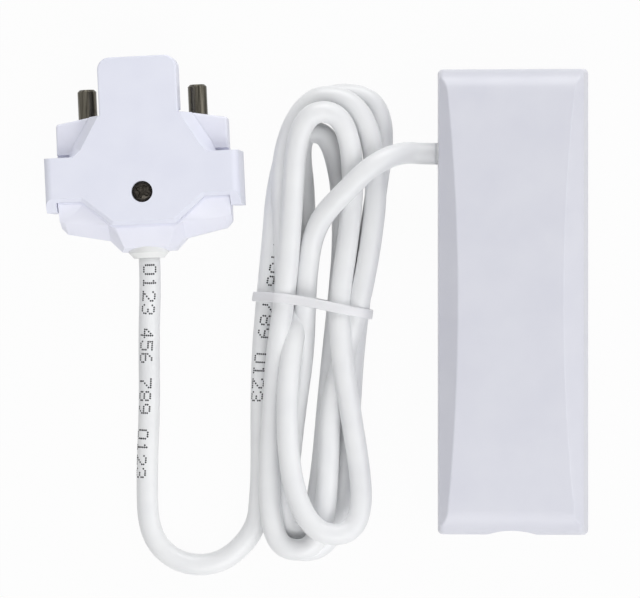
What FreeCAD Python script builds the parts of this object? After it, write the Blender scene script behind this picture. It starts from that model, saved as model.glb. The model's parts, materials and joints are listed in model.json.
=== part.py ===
import FreeCAD, Part
import Sketcher
import math
import os
import re

# Water leak sensor: a flat battery housing, a floor probe with two metal pins and the white
# lead between them, wound into a tied hank. Millimetres, +Z up, everything lies on z = 0.
# The origin is the middle of the housing's back face. The housing's long side runs along Y.

doc = FreeCAD.newDocument("LeakSensor")
sheet = doc.addObject("Spreadsheet::Sheet", "Sizes")

# Driving dimensions: word, millimetres or degrees, what it measures
drivingSizes = [
    ("housingLength", 110.0, "housing along Y at the parting line"),
    ("housingWidth", 35.5, "housing across X at the parting line"),
    ("housingHeight", 24.0, "back face to the crown of the front"),
    ("partingHeight", 4.0, "height of the joint between base and cover"),
    ("cornerRadius", 1.2, "upright corners of base and cover"),
    ("coverWall", 2.0, "wall of the front cover"),
    ("hingeRound", 0.5, "round of the cover's lower edge, on which it swings"),
    ("draftAngle", 3.4, "draft of the cover's four walls, degrees"),
    ("archRadius", 480.0, "lengthways arch of the front face"),
    ("bevelWidth", 4.6, "width of each long bevel at the middle of the housing"),
    ("bevelSlope", 1.0, "rise of the bevels for each unit across"),
    ("endRoll", 6.5, "radius that rolls the front face into each end wall"),
    ("bevelRound", 0.5, "small round along the bevels"),
    ("notchWidth", 11.4, "thumb notch in the bottom end"),
    ("notchDepth", 0.9, "depth of the thumb notch"),
    ("floorThickness", 2.0, "floor of the base"),
    ("baseChamfer", 0.5, "chamfer round the back face"),
    ("lipHeight", 2.0, "upstand that the cover fits over"),
    ("lipWall", 1.2, "wall of that upstand"),
    ("lipGap", 0.3, "gap between upstand and cover"),
    ("tabWidth", 5.0, "locating tabs of the cover at the top end"),
    ("tabSpread", 16.0, "distance between the two tabs"),
    ("tabWall", 1.2, "wall of each tab"),
    ("tabDepth", 1.4, "reach of the tabs below the parting line"),
    ("tabGap", 0.7, "gap between the tabs and the upstand"),
    ("tabRoot", 1.5, "height of the arm that carries each tab"),
    ("catchWidth", 10.0, "spring catch of the base at the bottom end"),
    ("catchWall", 1.2, "wall of the catch"),
    ("catchHeight", 8.0, "height of the catch above the floor"),
    ("catchBead", 0.6, "bead that bears on the cover's end wall"),
    ("catchGap", 0.1, "gap between bead and end wall"),
    ("wallHoleBore", 4.5, "wall screw holes"),
    ("wallBossWidth", 8.0, "rings round the wall screw holes"),
    ("wallBossHeight", 1.5, "height of those rings"),
    ("cableWidth", 5.1, "outer diameter of the lead"),
    ("cableHeight", 8.0, "height of the lead's axis where it enters"),
    ("cableFit", 0.05, "gap round the lead in its bed and clamp"),
    ("slotGap", 0.65, "gap beside the lead in the cover's slot"),
    ("saddleGap", 0.3, "gap beside the base's saddle in that slot"),
    ("saddleRise", 2.6, "height of the saddle above the parting line"),
    ("jacketEnd", 13.0, "length of jacket inside the housing"),
    ("bedStart", 4.0, "from the side wall's outside to the cable bed"),
    ("bedLength", 9.0, "cable bed along X"),
    ("bedWidth", 16.4, "cable bed along Y"),
    ("bedHeight", 6.5, "top of the cable bed"),
    ("clampLength", 4.0, "clamp strap along X"),
    ("clampWall", 1.4, "wall of the clamp strap"),
    ("clampScrewSpacing", 12.0, "distance between the clamp's screws"),
    ("boardThickness", 1.6, "circuit board"),
    ("boardHeight", 5.5, "underside of the board"),
    ("boardMargin", 4.2, "from the housing's sides to the board"),
    ("boardStart", 0.0, "lower edge of the board along Y"),
    ("boardBedGap", 1.5, "from the cable bed to the board's narrow part"),
    ("partGap", 1.0, "gap between the parts on the board"),
    ("postWidth", 4.6, "posts under the board"),
    ("postInset", 2.4, "post centres from the board's edges"),
    ("smallScrew", 1.8, "shank of the small screws"),
    ("smallScrewHead", 3.6, "head of the small screws"),
    ("smallScrewRise", 1.3, "height of those heads"),
    ("smallScrewReach", 3.8, "small screws below their heads' seats, past what they hold"),
    ("pilotGap", 0.03, "gap round the screws in their holes"),
    ("boardHoleGap", 0.3, "gap round the screws in the board and the clamp"),
    ("cellWidth", 17.0, "lithium cell"),
    ("cellLength", 34.5, "lithium cell with its button"),
    ("cellButton", 6.0, "button of the cell"),
    ("cellButtonRise", 1.1, "height of the button"),
    ("cellBoardGap", 4.75, "from the cell to the board along Y"),
    ("cellGap", 0.3, "gap under the cell"),
    ("cradleRib", 2.0, "ribs under the cell"),
    ("cradleHeight", 9.0, "top of the ribs"),
    ("cradleSpacing", 16.0, "distance between the ribs"),
    ("contactWallGap", 2.25, "from the cell's ends to the contact walls"),
    ("contactWall", 1.5, "walls that hold the contacts"),
    ("contactWallWidth", 16.0, "those walls across X"),
    ("contactWallHeight", 14.0, "top of those walls"),
    ("contactWidth", 9.0, "contact plates across X"),
    ("contactSheet", 0.5, "sheet metal of the contacts"),
    ("contactDimple", 4.0, "dimple of the positive contact"),
    ("leadWidth", 1.2, "insulated battery leads"),
    ("coreWidth", 1.3, "insulated cores of the lead"),
    ("coreSpread", 2.2, "distance between the cores in the jacket"),
    ("terminalDepth", 7.6, "terminal block along X"),
    ("terminalWidth", 10.0, "terminal block along Y"),
    ("terminalRise", 9.0, "terminal block's height"),
    ("terminalPitch", 5.0, "distance between the two poles"),
    ("terminalSetback", 1.5, "from the board's narrow edge to the block"),
    ("terminalEntry", 3.0, "height of the wire entries above the board"),
    ("terminalScrew", 3.2, "screws of the terminal block"),
    ("moduleWidth", 12.0, "radio module across X"),
    ("moduleLength", 16.0, "radio module along Y"),
    ("moduleRise", 2.5, "radio module's screening can"),
    ("chipWidth", 7.0, "controller chip"),
    ("chipRise", 1.3, "controller chip's height"),
    ("crystalLength", 9.5, "crystal can along X"),
    ("crystalWidth", 4.5, "crystal can along Y"),
    ("crystalRise", 3.5, "crystal can's height"),
    ("capacitorWidth", 5.0, "buffer capacitor"),
    ("capacitorRise", 7.0, "buffer capacitor's height"),
    ("tamperWidth", 6.0, "tamper switch"),
    ("tamperRise", 3.6, "tamper switch's height"),
    ("plungerWidth", 3.0, "plunger of the tamper switch"),
    ("plungerRise", 3.0, "plunger above the switch"),
    ("plungerDepth", 1.5, "plunger inside the switch"),
    ("plungerGap", 0.06, "running gap round the plunger"),
    ("plungerTravel", 0.25, "travel of the plunger"),
    ("postGap", 0.3, "from the plunger to the cover's post"),
    ("coverPost", 3.4, "post of the cover over the plunger"),
    ("antennaWire", 0.8, "aerial wire"),
    ("antennaRise", 3.9, "height of the aerial above the board"),
    ("antennaEndGap", 8.0, "from the housing's end to the aerial"),
    ("antennaReach", 7.1, "length of the aerial's run across"),
    ("probeAcross", -86.9, "the bracket screw along X"),
    ("probeAlong", 25.97, "the bracket screw along Y"),
    ("probeTurn", 2.6, "how far the probe lies turned, degrees"),
    ("probeSide", 7.0, "height of the probe body's upright sides"),
    ("probeShoulder", 10.6, "height of the probe body's shoulders"),
    ("probeTop", 12.4, "height of the probe body under the bracket"),
    ("probeBevel", 0.5, "round of the body's shoulders"),
    ("probeWall", 2.2, "wall of the probe body"),
    ("probeHollow", 8.6, "height of the hollow in the probe body"),
    ("probePlate", 1.6, "closing plate under the probe"),
    ("probePlateGap", 0.15, "gap round the closing plate"),
    ("bracketSeat", 0.2, "gap between bracket and body"),
    ("bracketTop", 15.0, "front face of the bracket"),
    ("bracketPlate", 2.4, "thickness of the bracket's plate"),
    ("bracketReach", 46.2, "width over the bracket's wings"),
    ("bracketFoot", 1.0, "height of the wings' lower edges"),
    ("tongueWidth", 18.7, "tongue of the bracket"),
    ("tongueTop", 31.9, "top of the tongue from the screw"),
    ("tongueCorner", 2.9, "corners of the tongue"),
    ("tongueRim", 8.6, "lower edge of the tongue's rim"),
    ("tongueWall", 1.8, "wall of that rim"),
    ("tongueGap", 0.35, "gap between the tongue and the body"),
    ("wingRound", 1.9, "round along the outside of the wings"),
    ("wingBevel", 2.8, "height of the slope at the wings' lower ends"),
    ("plateBevel", 0.9, "bevel of the plate's lower edges"),
    ("wingGroove", 0.8, "groove in the body along the wings' upper edges"),
    ("wingGrooveDepth", 1.4, "depth of that groove"),
    ("bodyHalf", 20.4, "half the width of the probe body"),
    ("bodyTop", 18.7, "upper edge of the body beside the tongue, from the screw"),
    ("bodySlant", 1.8, "fall of that edge towards the sides"),
    ("bodySideTop", 9.5, "upper end of the body's sides, from the screw"),
    ("bodySideLow", 3.7, "lower end of the body's sides, below the screw"),
    ("hipLow", 9.2, "lower corners of the body, below the screw"),
    ("neckHalf", 8.95, "half the width where the neck starts"),
    ("neckLow", 11.2, "where the neck starts, below the screw"),
    ("neckEndHalf", 6.2, "half the width of the neck's end"),
    ("neckEnd", 14.0, "end of the neck, below the screw"),
    ("hipCut", 1.4, "cut of the body's lower corners across"),
    ("shoulderRound", 0.7, "round of the body's outer corners beside the pins"),
    ("sideDraft", 0.5, "how much the body's sides lean in towards the floor"),
    ("creaseSide", 6.7, "crease at the sides, below the screw"),
    ("creaseNeck", 7.5, "crease at the neck, below the screw"),
    ("creaseEnd", 13.0, "end of the crease at the gland, below the screw"),
    ("plateLow", 7.65, "lower edge of the bracket's plate, below the screw"),
    ("plateLowHalf", 7.5, "half the width of that edge"),
    ("plateStepHalf", 14.6, "half the width at the step of the plate"),
    ("plateStep", 1.7, "step of the plate, below the screw"),
    ("cheekHalf", 14.2, "half the width at the foot of the slanting cheeks"),
    ("cheekFoot", 10.3, "foot of those cheeks, from the screw"),
    ("wingTop", 8.8, "upper end of the wings, from the screw"),
    ("wingLow", 4.0, "lower end of the wings, below the screw"),
    ("bracketEdge", 0.4, "small round of the bracket's edges"),
    ("pinSpacing", 26.4, "distance between the two contact pins"),
    ("pinWidth", 4.5, "contact pins"),
    ("pinTop", 25.0, "tips of the pins from the screw"),
    ("pinHeight", 5.6, "height of the pins' axes"),
    ("pinSeat", 15.0, "where the pins' shoulders seat, from the screw"),
    ("pinRound", 0.5, "round of the pins' tips"),
    ("pinStub", 2.6, "threaded tail of the pins"),
    ("pinStubEnd", 10.2, "end of that tail, from the screw"),
    ("pinFit", 0.05, "gap round the pins"),
    ("pinBlock", 6.8, "blocks inside the body that carry the pins"),
    ("pinBlockEnd", 13.5, "inner face of those blocks, from the screw"),
    ("pinNut", 5.0, "nuts on the pins' tails, across flats"),
    ("pinNutRise", 2.0, "height of those nuts"),
    ("tagSheet", 0.5, "solder tags under the nuts"),
    ("tagWidth", 4.6, "ring of the solder tags"),
    ("tagLength", 5.0, "tail of the solder tags"),
    ("tagTail", 2.0, "width of that tail"),
    ("bracketScrewHead", 4.85, "head of the bracket's screw"),
    ("bracketScrewRise", 1.5, "height of that head"),
    ("bracketScrewSink", 0.5, "how far the head lies below the bracket's face"),
    ("bracketScrewGap", 0.1, "gap round that head"),
    ("bracketScrewShank", 2.9, "shank of that screw"),
    ("bracketScrewLength", 8.0, "length of the shank"),
    ("crossWidth", 0.9, "arms of the cross recess"),
    ("crossLength", 2.8, "the cross recess over its arms"),
    ("crossDepth", 0.8, "depth of the cross recess"),
    ("bossWidth", 6.0, "boss in the probe body for the screw"),
    ("glandHeight", 5.9, "height of the gland's axis"),
    ("glandWidth", 9.6, "gland where it meets the body"),
    ("glandNose", 7.2, "gland at its nose"),
    ("glandLength", 2.7, "collar of the gland"),
    ("glandEdge", 1.3, "chamfer of that collar"),
    ("glandNeck", 6.6, "gland inside the body's wall"),
    ("glandSeat", -12.9, "where the gland's collar seats in the body, from the screw"),
    ("glandInner", -10.2, "inner end of the gland, from the screw"),
    ("hankHeight", 11.0, "hank as it lies"),
    ("hankRound", 2.4, "rounded edges of the hank"),
    ("tieWidth", 2.2, "nylon tie along the hank"),
    ("tieSheet", 1.1, "thickness of the tie"),
    ("tieAngle", -8.3, "slant of the tie, degrees"),
    ("tieAcross", -47.3, "middle of the tie along X"),
    ("tieAlong", -1.1, "middle of the tie along Y"),
    ("tieReach", 28.6, "tie across the hank, outside"),
]
# Sizes that follow from others: word, formula, what it measures
followingSizes = [
    ("wallHoleSpacing", "housingLength * 91 / 110", "distance between the wall screw holes"),
    ("cableAlong", "housingLength * 34.9 / 110", "where the lead enters, along Y"),
    ("boardShoulder", "housingLength * 26 / 110", "where the board narrows, along Y"),
    ("boardEnd", "housingLength * 42 / 110", "upper edge of the board along Y"),
    ("cellMiddle", "boardStart - cellBoardGap - cellLength / 2", "middle of the cell along Y"),
    ("boardWidth", "housingWidth - 2 * boardMargin", "board across X"),
    ("neckEdge", "bedStart + bedLength + boardBedGap - housingWidth / 2",
     "left edge of the board's narrow part"),
    ("boardTop", "boardHeight + boardThickness", "upper face of the board"),
    ("moduleMiddle", "boardWidth / 2 - partGap - moduleWidth / 2", "radio module along X"),
    ("chipMiddle", "moduleMiddle - moduleWidth / 2 - 1.3 * partGap - chipWidth / 2",
     "controller chip along X"),
    ("postSpot", "boardWidth / 2 - postInset", "the outer posts along X"),
    ("postEdge", "postSpot - smallScrewHead / 2", "inner edge of their screws' heads"),
    ("crystalMiddle", "0.2 * partGap + crystalLength / 2 - postEdge", "crystal can along X"),
    ("tamperMiddle", "0.3 * partGap + tamperWidth / 2 - postEdge", "tamper switch along X"),
    ("terminalMiddle", "neckEdge + terminalSetback + terminalDepth / 2",
     "terminal block along X"),
    ("bodyUpper", "bodyTop - bodySlant", "body's outer corners beside the pins"),
]
for row, (word, number, meaning) in enumerate(drivingSizes + followingSizes, start=1):
    entry = "=" + number if isinstance(number, str) else str(number)
    sheet.set("A%d" % row, meaning)
    sheet.set("B%d" % row, entry)
    sheet.setAlias("B%d" % row, word)
doc.recompute()


def size(word):
    return float(sheet.get(word))


def formula(text):
    # every camelCase word in a formula is a size on the sheet
    return re.sub(r"\b([a-z]+[A-Z]\w*)\b", r"Sizes.\1", str(text))


# Sketches, pads and pockets

def newBody(label):
    body = doc.addObject("PartDesign::Body", label)
    body.Label = label
    return body


def newSketch(body, plane, offset):
    sketch = body.newObject("Sketcher::SketchObject", "Sketch")
    planes = [item for item in body.Origin.OriginFeatures if item.Role == plane]
    sketch.AttachmentSupport = [(planes[0], "")]
    sketch.MapMode = "FlatFace"
    sketch.setExpression("AttachmentOffset.Base.z", formula(offset))
    return sketch


def bindDistance(sketch, kind, geometry, point, start, text):
    index = sketch.addConstraint(Sketcher.Constraint(kind, -1, 1, geometry, point, start))
    sketch.setExpression("Constraints[%d]" % index, formula(text))


def drawPolygon(sketch, corners):
    # the corners start on a circle, and the formulas then pull them into place
    startRadius = 10.0
    first = sketch.GeometryCount
    count = len(corners)
    ring = []
    for step in range(count):
        turn = 2 * math.pi * (step + 0.3) / count
        ring.append(FreeCAD.Vector(startRadius * math.cos(turn), startRadius * math.sin(turn), 0))
    for step in range(count):
        sketch.addGeometry(Part.LineSegment(ring[step], ring[(step + 1) % count]))
    for step in range(count):
        following = first + (step + 1) % count
        sketch.addConstraint(Sketcher.Constraint("Coincident", first + step, 2, following, 1))
    for step, (across, along) in enumerate(corners):
        bindDistance(sketch, "DistanceX", first + step, 1, ring[step].x, across)
        bindDistance(sketch, "DistanceY", first + step, 1, ring[step].y, along)


def drawRectangle(sketch, across, along, width, length):
    left = "%s - (%s) / 2" % (across, width)
    right = "%s + (%s) / 2" % (across, width)
    low = "%s - (%s) / 2" % (along, length)
    high = "%s + (%s) / 2" % (along, length)
    drawPolygon(sketch, [(left, low), (right, low), (right, high), (left, high)])


def drawCircle(sketch, across, along, diameter):
    centre = FreeCAD.Vector(1, 1, 0)
    index = sketch.addGeometry(Part.Circle(centre, FreeCAD.Vector(0, 0, 1), 2.0))
    bindDistance(sketch, "DistanceX", index, 3, centre.x, across)
    bindDistance(sketch, "DistanceY", index, 3, centre.y, along)
    radius = sketch.addConstraint(Sketcher.Constraint("Radius", index, 2.0))
    sketch.setExpression("Constraints[%d]" % radius, formula("(%s) / 2" % diameter))


def polygon(*corners):
    return lambda sketch: drawPolygon(sketch, corners)


def rectangle(across, along, width, length):
    return lambda sketch: drawRectangle(sketch, across, along, width, length)


def circle(across, along, diameter):
    return lambda sketch: drawCircle(sketch, across, along, diameter)


def feature(body, kind, plane, offset, length, shapes):
    sketch = newSketch(body, plane, offset)
    for draw in shapes:
        draw(sketch)
    made = body.newObject(kind, kind.split("::")[1])
    made.Profile = sketch
    made.setExpression("Length", formula(length))
    sketch.Visibility = False
    return made


def pad(body, plane, offset, length, *shapes):
    return feature(body, "PartDesign::Pad", plane, offset, length, shapes)


def pocket(body, plane, offset, length, *shapes):
    return feature(body, "PartDesign::Pocket", plane, offset, length, shapes)


def loft(body, lowOffset, lowShape, highOffset, highShape):
    # ruled faces between two outlines with as many corners each
    low = newSketch(body, "XY_Plane", lowOffset)
    lowShape(low)
    high = newSketch(body, "XY_Plane", highOffset)
    highShape(high)
    made = body.newObject("PartDesign::AdditiveLoft", "AdditiveLoft")
    made.Profile = low
    made.Sections = [high]
    made.Ruled = True
    return made


def dressEdges(body, kind, choose, settings):
    doc.recompute()
    base = body.Tip
    names = []
    for number, edge in enumerate(base.Shape.Edges, start=1):
        if choose(edge):
            names.append("Edge%d" % number)
    made = body.newObject(kind, kind.split("::")[1])
    made.Base = (base, names)
    for name, text in settings.items():
        made.setExpression(name, formula(text))
    return made


def roundEdges(body, radius, choose):
    return dressEdges(body, "PartDesign::Fillet", choose, {"Radius": radius})


def bevelEdges(body, width, choose):
    return dressEdges(body, "PartDesign::Chamfer", choose, {"Size": width})


def mirroredCorners(rightHalf):
    # a symmetric outline from its right half, listed from the top down
    leftHalf = [("-(%s)" % across, along) for across, along in reversed(rightHalf)]
    return polygon(*(list(rightHalf) + leftHalf))


def upright(edge):
    start, end = edge.Vertexes[0].Point, edge.Vertexes[-1].Point
    return (end - start).cross(FreeCAD.Vector(0, 0, 1)).Length < 0.1 * (end - start).Length


def turnedBody(label, plane, corners):
    # a turned piece: a profile given as (radius, height) revolved about the sketch's upright axis
    body = newBody(label)
    sketch = newSketch(body, plane, "0")
    drawPolygon(sketch, corners)
    made = body.newObject("PartDesign::Revolution", "Revolution")
    made.Profile = sketch
    made.ReferenceAxis = (sketch, ["V_Axis"])
    made.Angle = 360
    sketch.Visibility = False
    return body


def place(item, across, along, height, turnAxis=(0, 0, 1), turn=0.0):
    rotation = FreeCAD.Rotation(FreeCAD.Vector(*turnAxis), turn)
    item.Placement = FreeCAD.Placement(FreeCAD.Vector(across, along, height), rotation)


# Base: floor, rim, upstand, posts, cell cradle, cable bed and catch in one moulding

def boardPosts():
    low = "boardStart + postInset"
    return [("-postSpot", low), ("-postSpot", "boardShoulder - postInset"), ("postSpot", low),
            ("postSpot", "boardEnd - postInset")]


def wallHoles():
    return [("0", "wallHoleSpacing / 2"), ("0", "-wallHoleSpacing / 2")]


def clampScrews():
    across = "-housingWidth / 2 + bedStart + bedLength / 2"
    return [(across, "cableAlong - clampScrewSpacing / 2"),
            (across, "cableAlong + clampScrewSpacing / 2")]


def cellEnd(side):
    return "cellMiddle + %d * cellLength / 2" % side


def makeBase():
    body = newBody("back_base")
    innerWidth = "housingWidth - 2 * coverWall - 2 * lipGap - 2 * lipWall"
    innerLength = "housingLength - 2 * coverWall - 2 * lipGap - 2 * lipWall"
    pad(body, "XY_Plane", "0", "partingHeight",
        rectangle("0", "0", "housingWidth", "housingLength"))
    roundEdges(body, "cornerRadius", upright)
    bevelEdges(body, "baseChamfer", lambda edge: edge.BoundBox.ZMax < 0.01)
    pad(body, "XY_Plane", "0.5 * partingHeight", "0.5 * partingHeight + lipHeight",
        rectangle("0", "0", "housingWidth - 2 * coverWall - 2 * lipGap",
                  "housingLength - 2 * coverWall - 2 * lipGap"))
    pocket(body, "XY_Plane", "partingHeight + lipHeight",
           "partingHeight + lipHeight - floorThickness",
           rectangle("0", "0", innerWidth, innerLength))
    # posts under the board and rings round the wall holes
    pad(body, "XY_Plane", "0.5 * floorThickness", "boardHeight - 0.5 * floorThickness",
        *[circle(across, along, "postWidth") for across, along in boardPosts()])
    pad(body, "XY_Plane", "0.5 * floorThickness", "0.5 * floorThickness + wallBossHeight",
        *[circle(across, along, "wallBossWidth") for across, along in wallHoles()])
    # ribs and contact walls of the cell's cradle
    ribWidth = "cellWidth + 2"
    pad(body, "XY_Plane", "0.5 * floorThickness", "cradleHeight - 0.5 * floorThickness",
        rectangle("0", "cellMiddle - cradleSpacing / 2", ribWidth, "cradleRib"),
        rectangle("0", "cellMiddle + cradleSpacing / 2", ribWidth, "cradleRib"))
    pad(body, "XY_Plane", "0.5 * floorThickness", "contactWallHeight - 0.5 * floorThickness",
        rectangle("0", cellEnd(-1) + " - contactWallGap - contactWall / 2",
                  "contactWallWidth", "contactWall"),
        rectangle("0", cellEnd(1) + " + contactWallGap + contactWall / 2",
                  "contactWallWidth", "contactWall"))
    pocket(body, "XZ_Plane", "-(%s)" % cellEnd(-1), "cellLength",
           circle("0", "floorThickness + cellGap + cellWidth / 2", "cellWidth + 2 * cellGap"))
    # cable bed inside, and the saddle that closes the cover's slot from below
    pad(body, "XY_Plane", "0.5 * floorThickness", "bedHeight - 0.5 * floorThickness",
        rectangle("-housingWidth / 2 + bedStart + bedLength / 2", "cableAlong",
                  "bedLength", "bedWidth"))
    pad(body, "XY_Plane", "0.5 * partingHeight", "0.5 * partingHeight + saddleRise",
        rectangle("-housingWidth / 2 + bedStart / 2 + 0.25", "cableAlong",
                  "bedStart - 0.5", "cableWidth + 2 * slotGap - 2 * saddleGap"))
    pocket(body, "YZ_Plane", "-housingWidth / 2 + bedStart + bedLength + 1",
           "bedStart + bedLength + 2",
           circle("cableAlong", "cableHeight", "cableWidth + 2 * cableFit"))
    # spring catch with its bead at the bottom end
    beadFace = ("-housingLength / 2 + coverWall + catchGap"
                " + (floorThickness + catchHeight - partingHeight) * tan(draftAngle * 1deg)")
    tongueFace = beadFace + " + catchBead"
    pad(body, "YZ_Plane", "-catchWidth / 2", "catchWidth",
        polygon((tongueFace, "0.5 * floorThickness"),
                (tongueFace + " + catchWall", "0.5 * floorThickness"),
                (tongueFace + " + catchWall", "floorThickness + catchHeight"),
                (tongueFace, "floorThickness + catchHeight"),
                (beadFace, "floorThickness + catchHeight - 1"),
                (tongueFace, "floorThickness + catchHeight - 2")))
    # wall holes, screw pilots and the thumb notch
    pocket(body, "XY_Plane", "floorThickness + wallBossHeight + 1",
           "floorThickness + wallBossHeight + 2",
           *[circle(across, along, "wallHoleBore") for across, along in wallHoles()])
    pilot = "smallScrew + 2 * pilotGap"
    pocket(body, "XY_Plane", "boardHeight", "smallScrewReach - 0.2",
           *[circle(across, along, pilot) for across, along in boardPosts()])
    pocket(body, "XY_Plane", "bedHeight", "smallScrewReach + 0.2",
           *[circle(across, along, pilot) for across, along in clampScrews()])
    thumbNotch(body, "(partingHeight + 1)", "partingHeight + 2")
    return body


def thumbNotch(body, top, depth, draft="0"):
    # a shallow arc: its radius follows from the notch's width and depth, and grows with the draft
    radius = "((notchWidth / 2) ^ 2 + notchDepth ^ 2) / (2 * notchDepth)"
    growth = "(%s - partingHeight) * tan(%s * 1deg)" % (top, draft)
    cut = pocket(body, "XY_Plane", top, depth,
                 circle("0", "-housingLength / 2 + notchDepth - (%s)" % radius,
                        "2 * (%s + %s)" % (radius, growth)))
    if draft != "0":
        cut.setExpression("TaperAngle", formula("-(%s)" % draft))


# Cover: drafted block, arched front, rolled ends, long bevels, hollowed by the same form

def coverForm(body, inset):
    height = "housingHeight - (%s)" % inset
    width = "housingWidth - 2 * (%s)" % inset
    length = "housingLength - 2 * (%s)" % inset
    block = pad(body, "XY_Plane", "partingHeight", "%s - partingHeight" % height,
                rectangle("0", "0", width, length))
    block.setExpression("TaperAngle", formula("-draftAngle"))
    archWaste(body, inset)
    endEdges = lambda edge: (edge.BoundBox.XLength > 20 and edge.BoundBox.YLength < 1
                             and edge.BoundBox.ZMin > size("housingHeight") * 0.6)
    roundEdges(body, "endRoll - (%s)" % inset, endEdges)
    # the two long bevels, cut by triangles seen along Y
    shoulder = "(housingHeight - bevelWidth * bevelSlope)"
    halfTop = "(housingWidth / 2 - (%s - partingHeight) * tan(draftAngle * 1deg))" % shoulder
    shift = "((%s) * sqrt(1 + bevelSlope ^ 2))" % inset
    outside = "(housingWidth / 2 + 2)"
    above = "(housingHeight + 2)"
    lowPoint = "%s - bevelSlope * (%s - %s) - %s" % (shoulder, outside, halfTop, shift)
    innerPoint = "(%s - (%s - %s + %s) / bevelSlope)" % (halfTop, above, shoulder, shift)
    for side in ("1", "-1"):
        pocket(body, "XZ_Plane", "housingLength / 2 + 5", "housingLength + 10",
               polygon((side + " * " + outside, lowPoint), (side + " * " + innerPoint, above),
                       (side + " * " + outside, above)))


def archWaste(body, inset):
    # what lies above the arched front: an arc about a far centre, closed by a box above it
    sketch = newSketch(body, "YZ_Plane", "-housingWidth")
    gap = float(size("coverWall")) if inset != "0" else 0.0
    radius = size("archRadius") - gap
    low = size("housingHeight") - size("archRadius")
    half = size("housingLength") / 2 + 2
    top = size("housingHeight") + 4
    lift = math.sqrt(radius ** 2 - half ** 2)
    reach = math.atan2(half, lift)
    centre = FreeCAD.Vector(0, low, 0)
    whole = Part.Circle(centre, FreeCAD.Vector(0, 0, 1), radius)
    arc = sketch.addGeometry(Part.ArcOfCircle(whole, math.pi / 2 - reach, math.pi / 2 + reach))
    right = FreeCAD.Vector(half, low + lift, 0)
    left = FreeCAD.Vector(-half, low + lift, 0)
    rightTop = FreeCAD.Vector(half, top, 0)
    leftTop = FreeCAD.Vector(-half, top, 0)
    down = sketch.addGeometry(Part.LineSegment(left, leftTop))
    over = sketch.addGeometry(Part.LineSegment(leftTop, rightTop))
    back = sketch.addGeometry(Part.LineSegment(rightTop, right))
    sketch.addConstraint(Sketcher.Constraint("Coincident", arc, 2, down, 1))
    sketch.addConstraint(Sketcher.Constraint("Coincident", down, 2, over, 1))
    sketch.addConstraint(Sketcher.Constraint("Coincident", over, 2, back, 1))
    sketch.addConstraint(Sketcher.Constraint("Coincident", back, 2, arc, 1))
    bindDistance(sketch, "DistanceX", arc, 3, 0.0, "0")
    bindDistance(sketch, "DistanceY", arc, 3, low, "housingHeight - archRadius")
    bound = sketch.addConstraint(Sketcher.Constraint("Radius", arc, radius))
    sketch.setExpression("Constraints[%d]" % bound, formula("archRadius - (%s)" % inset))
    bindDistance(sketch, "DistanceX", down, 1, -half, "-housingLength / 2 - 2")
    bindDistance(sketch, "DistanceX", down, 2, -half, "-housingLength / 2 - 2")
    bindDistance(sketch, "DistanceX", back, 1, half, "housingLength / 2 + 2")
    bindDistance(sketch, "DistanceX", back, 2, half, "housingLength / 2 + 2")
    bindDistance(sketch, "DistanceY", down, 2, top, "housingHeight + 4")
    bindDistance(sketch, "DistanceY", over, 2, top, "housingHeight + 4")
    made = body.newObject("PartDesign::Pocket", "Pocket")
    made.Profile = sketch
    made.Reversed = True
    made.setExpression("Length", formula("2 * housingWidth"))
    sketch.Visibility = False


def makeCover():
    core = newBody("cover_core")
    coverForm(core, "coverWall")
    body = newBody("front_cover")
    coverForm(body, "0")
    cornerTop = size("housingHeight") * 0.75
    roundEdges(body, "cornerRadius", lambda edge: upright(edge) and edge.BoundBox.ZMax < cornerTop)
    roundEdges(body, "hingeRound", lambda edge: edge.BoundBox.ZMax < size("partingHeight") + 0.01)
    # soft edges where the long bevels meet the front and the side walls
    high = size("housingHeight") * 0.7
    far = size("housingLength") * 0.8
    roundEdges(body, "bevelRound", lambda edge: (
        edge.BoundBox.YLength > far and edge.BoundBox.ZMin > high))
    doc.recompute()
    hollow = body.newObject("PartDesign::Boolean", "Hollow")
    hollow.Type = "Cut"
    hollow.addObject(core)
    doc.recompute()
    # slot for the lead, open downwards so that the cover can swing off
    slotWidth = "cableWidth + 2 * slotGap"
    pocket(body, "YZ_Plane", "-housingWidth / 2 + coverWall + 2", "coverWall + 4",
           rectangle("cableAlong", "partingHeight / 2 + cableHeight / 2 - 1", slotWidth,
                     "cableHeight - partingHeight + 2"))
    pocket(body, "YZ_Plane", "-housingWidth / 2 + coverWall + 2", "coverWall + 4",
           circle("cableAlong", "cableHeight", slotWidth))
    thumbNotch(body, "(housingHeight + 1)", "housingHeight - partingHeight + 2", "draftAngle")
    # post over the tamper plunger
    across, along = tamperPlace()
    bottom = "boardHeight + boardThickness + tamperRise + plungerRise + postGap"
    pad(body, "XY_Plane", bottom, "housingHeight - coverWall - (%s)" % bottom,
        circle(across, along, "coverPost"))
    # two tabs that reach inside the upstand at the top end
    tabFace = "housingLength / 2 - coverWall - lipGap - lipWall - tabGap"
    rootLow = "partingHeight + lipHeight + tabGap"
    wallMiddle = "housingLength / 2 - coverWall + 0.5"
    for side in (-1, 1):
        pad(body, "YZ_Plane", "%d * tabSpread / 2 - tabWidth / 2" % side, "tabWidth",
            polygon((wallMiddle, rootLow), (wallMiddle, rootLow + " + tabRoot"),
                    (tabFace + " - tabWall", rootLow + " + tabRoot"),
                    (tabFace + " - tabWall", "partingHeight - tabDepth"),
                    (tabFace, "partingHeight - tabDepth"), (tabFace, rootLow)))
    return body


# Board and what stands on it

def tamperPlace():
    return "tamperMiddle", "boardShoulder - tamperWidth / 2 - 0.4 * partGap"


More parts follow.
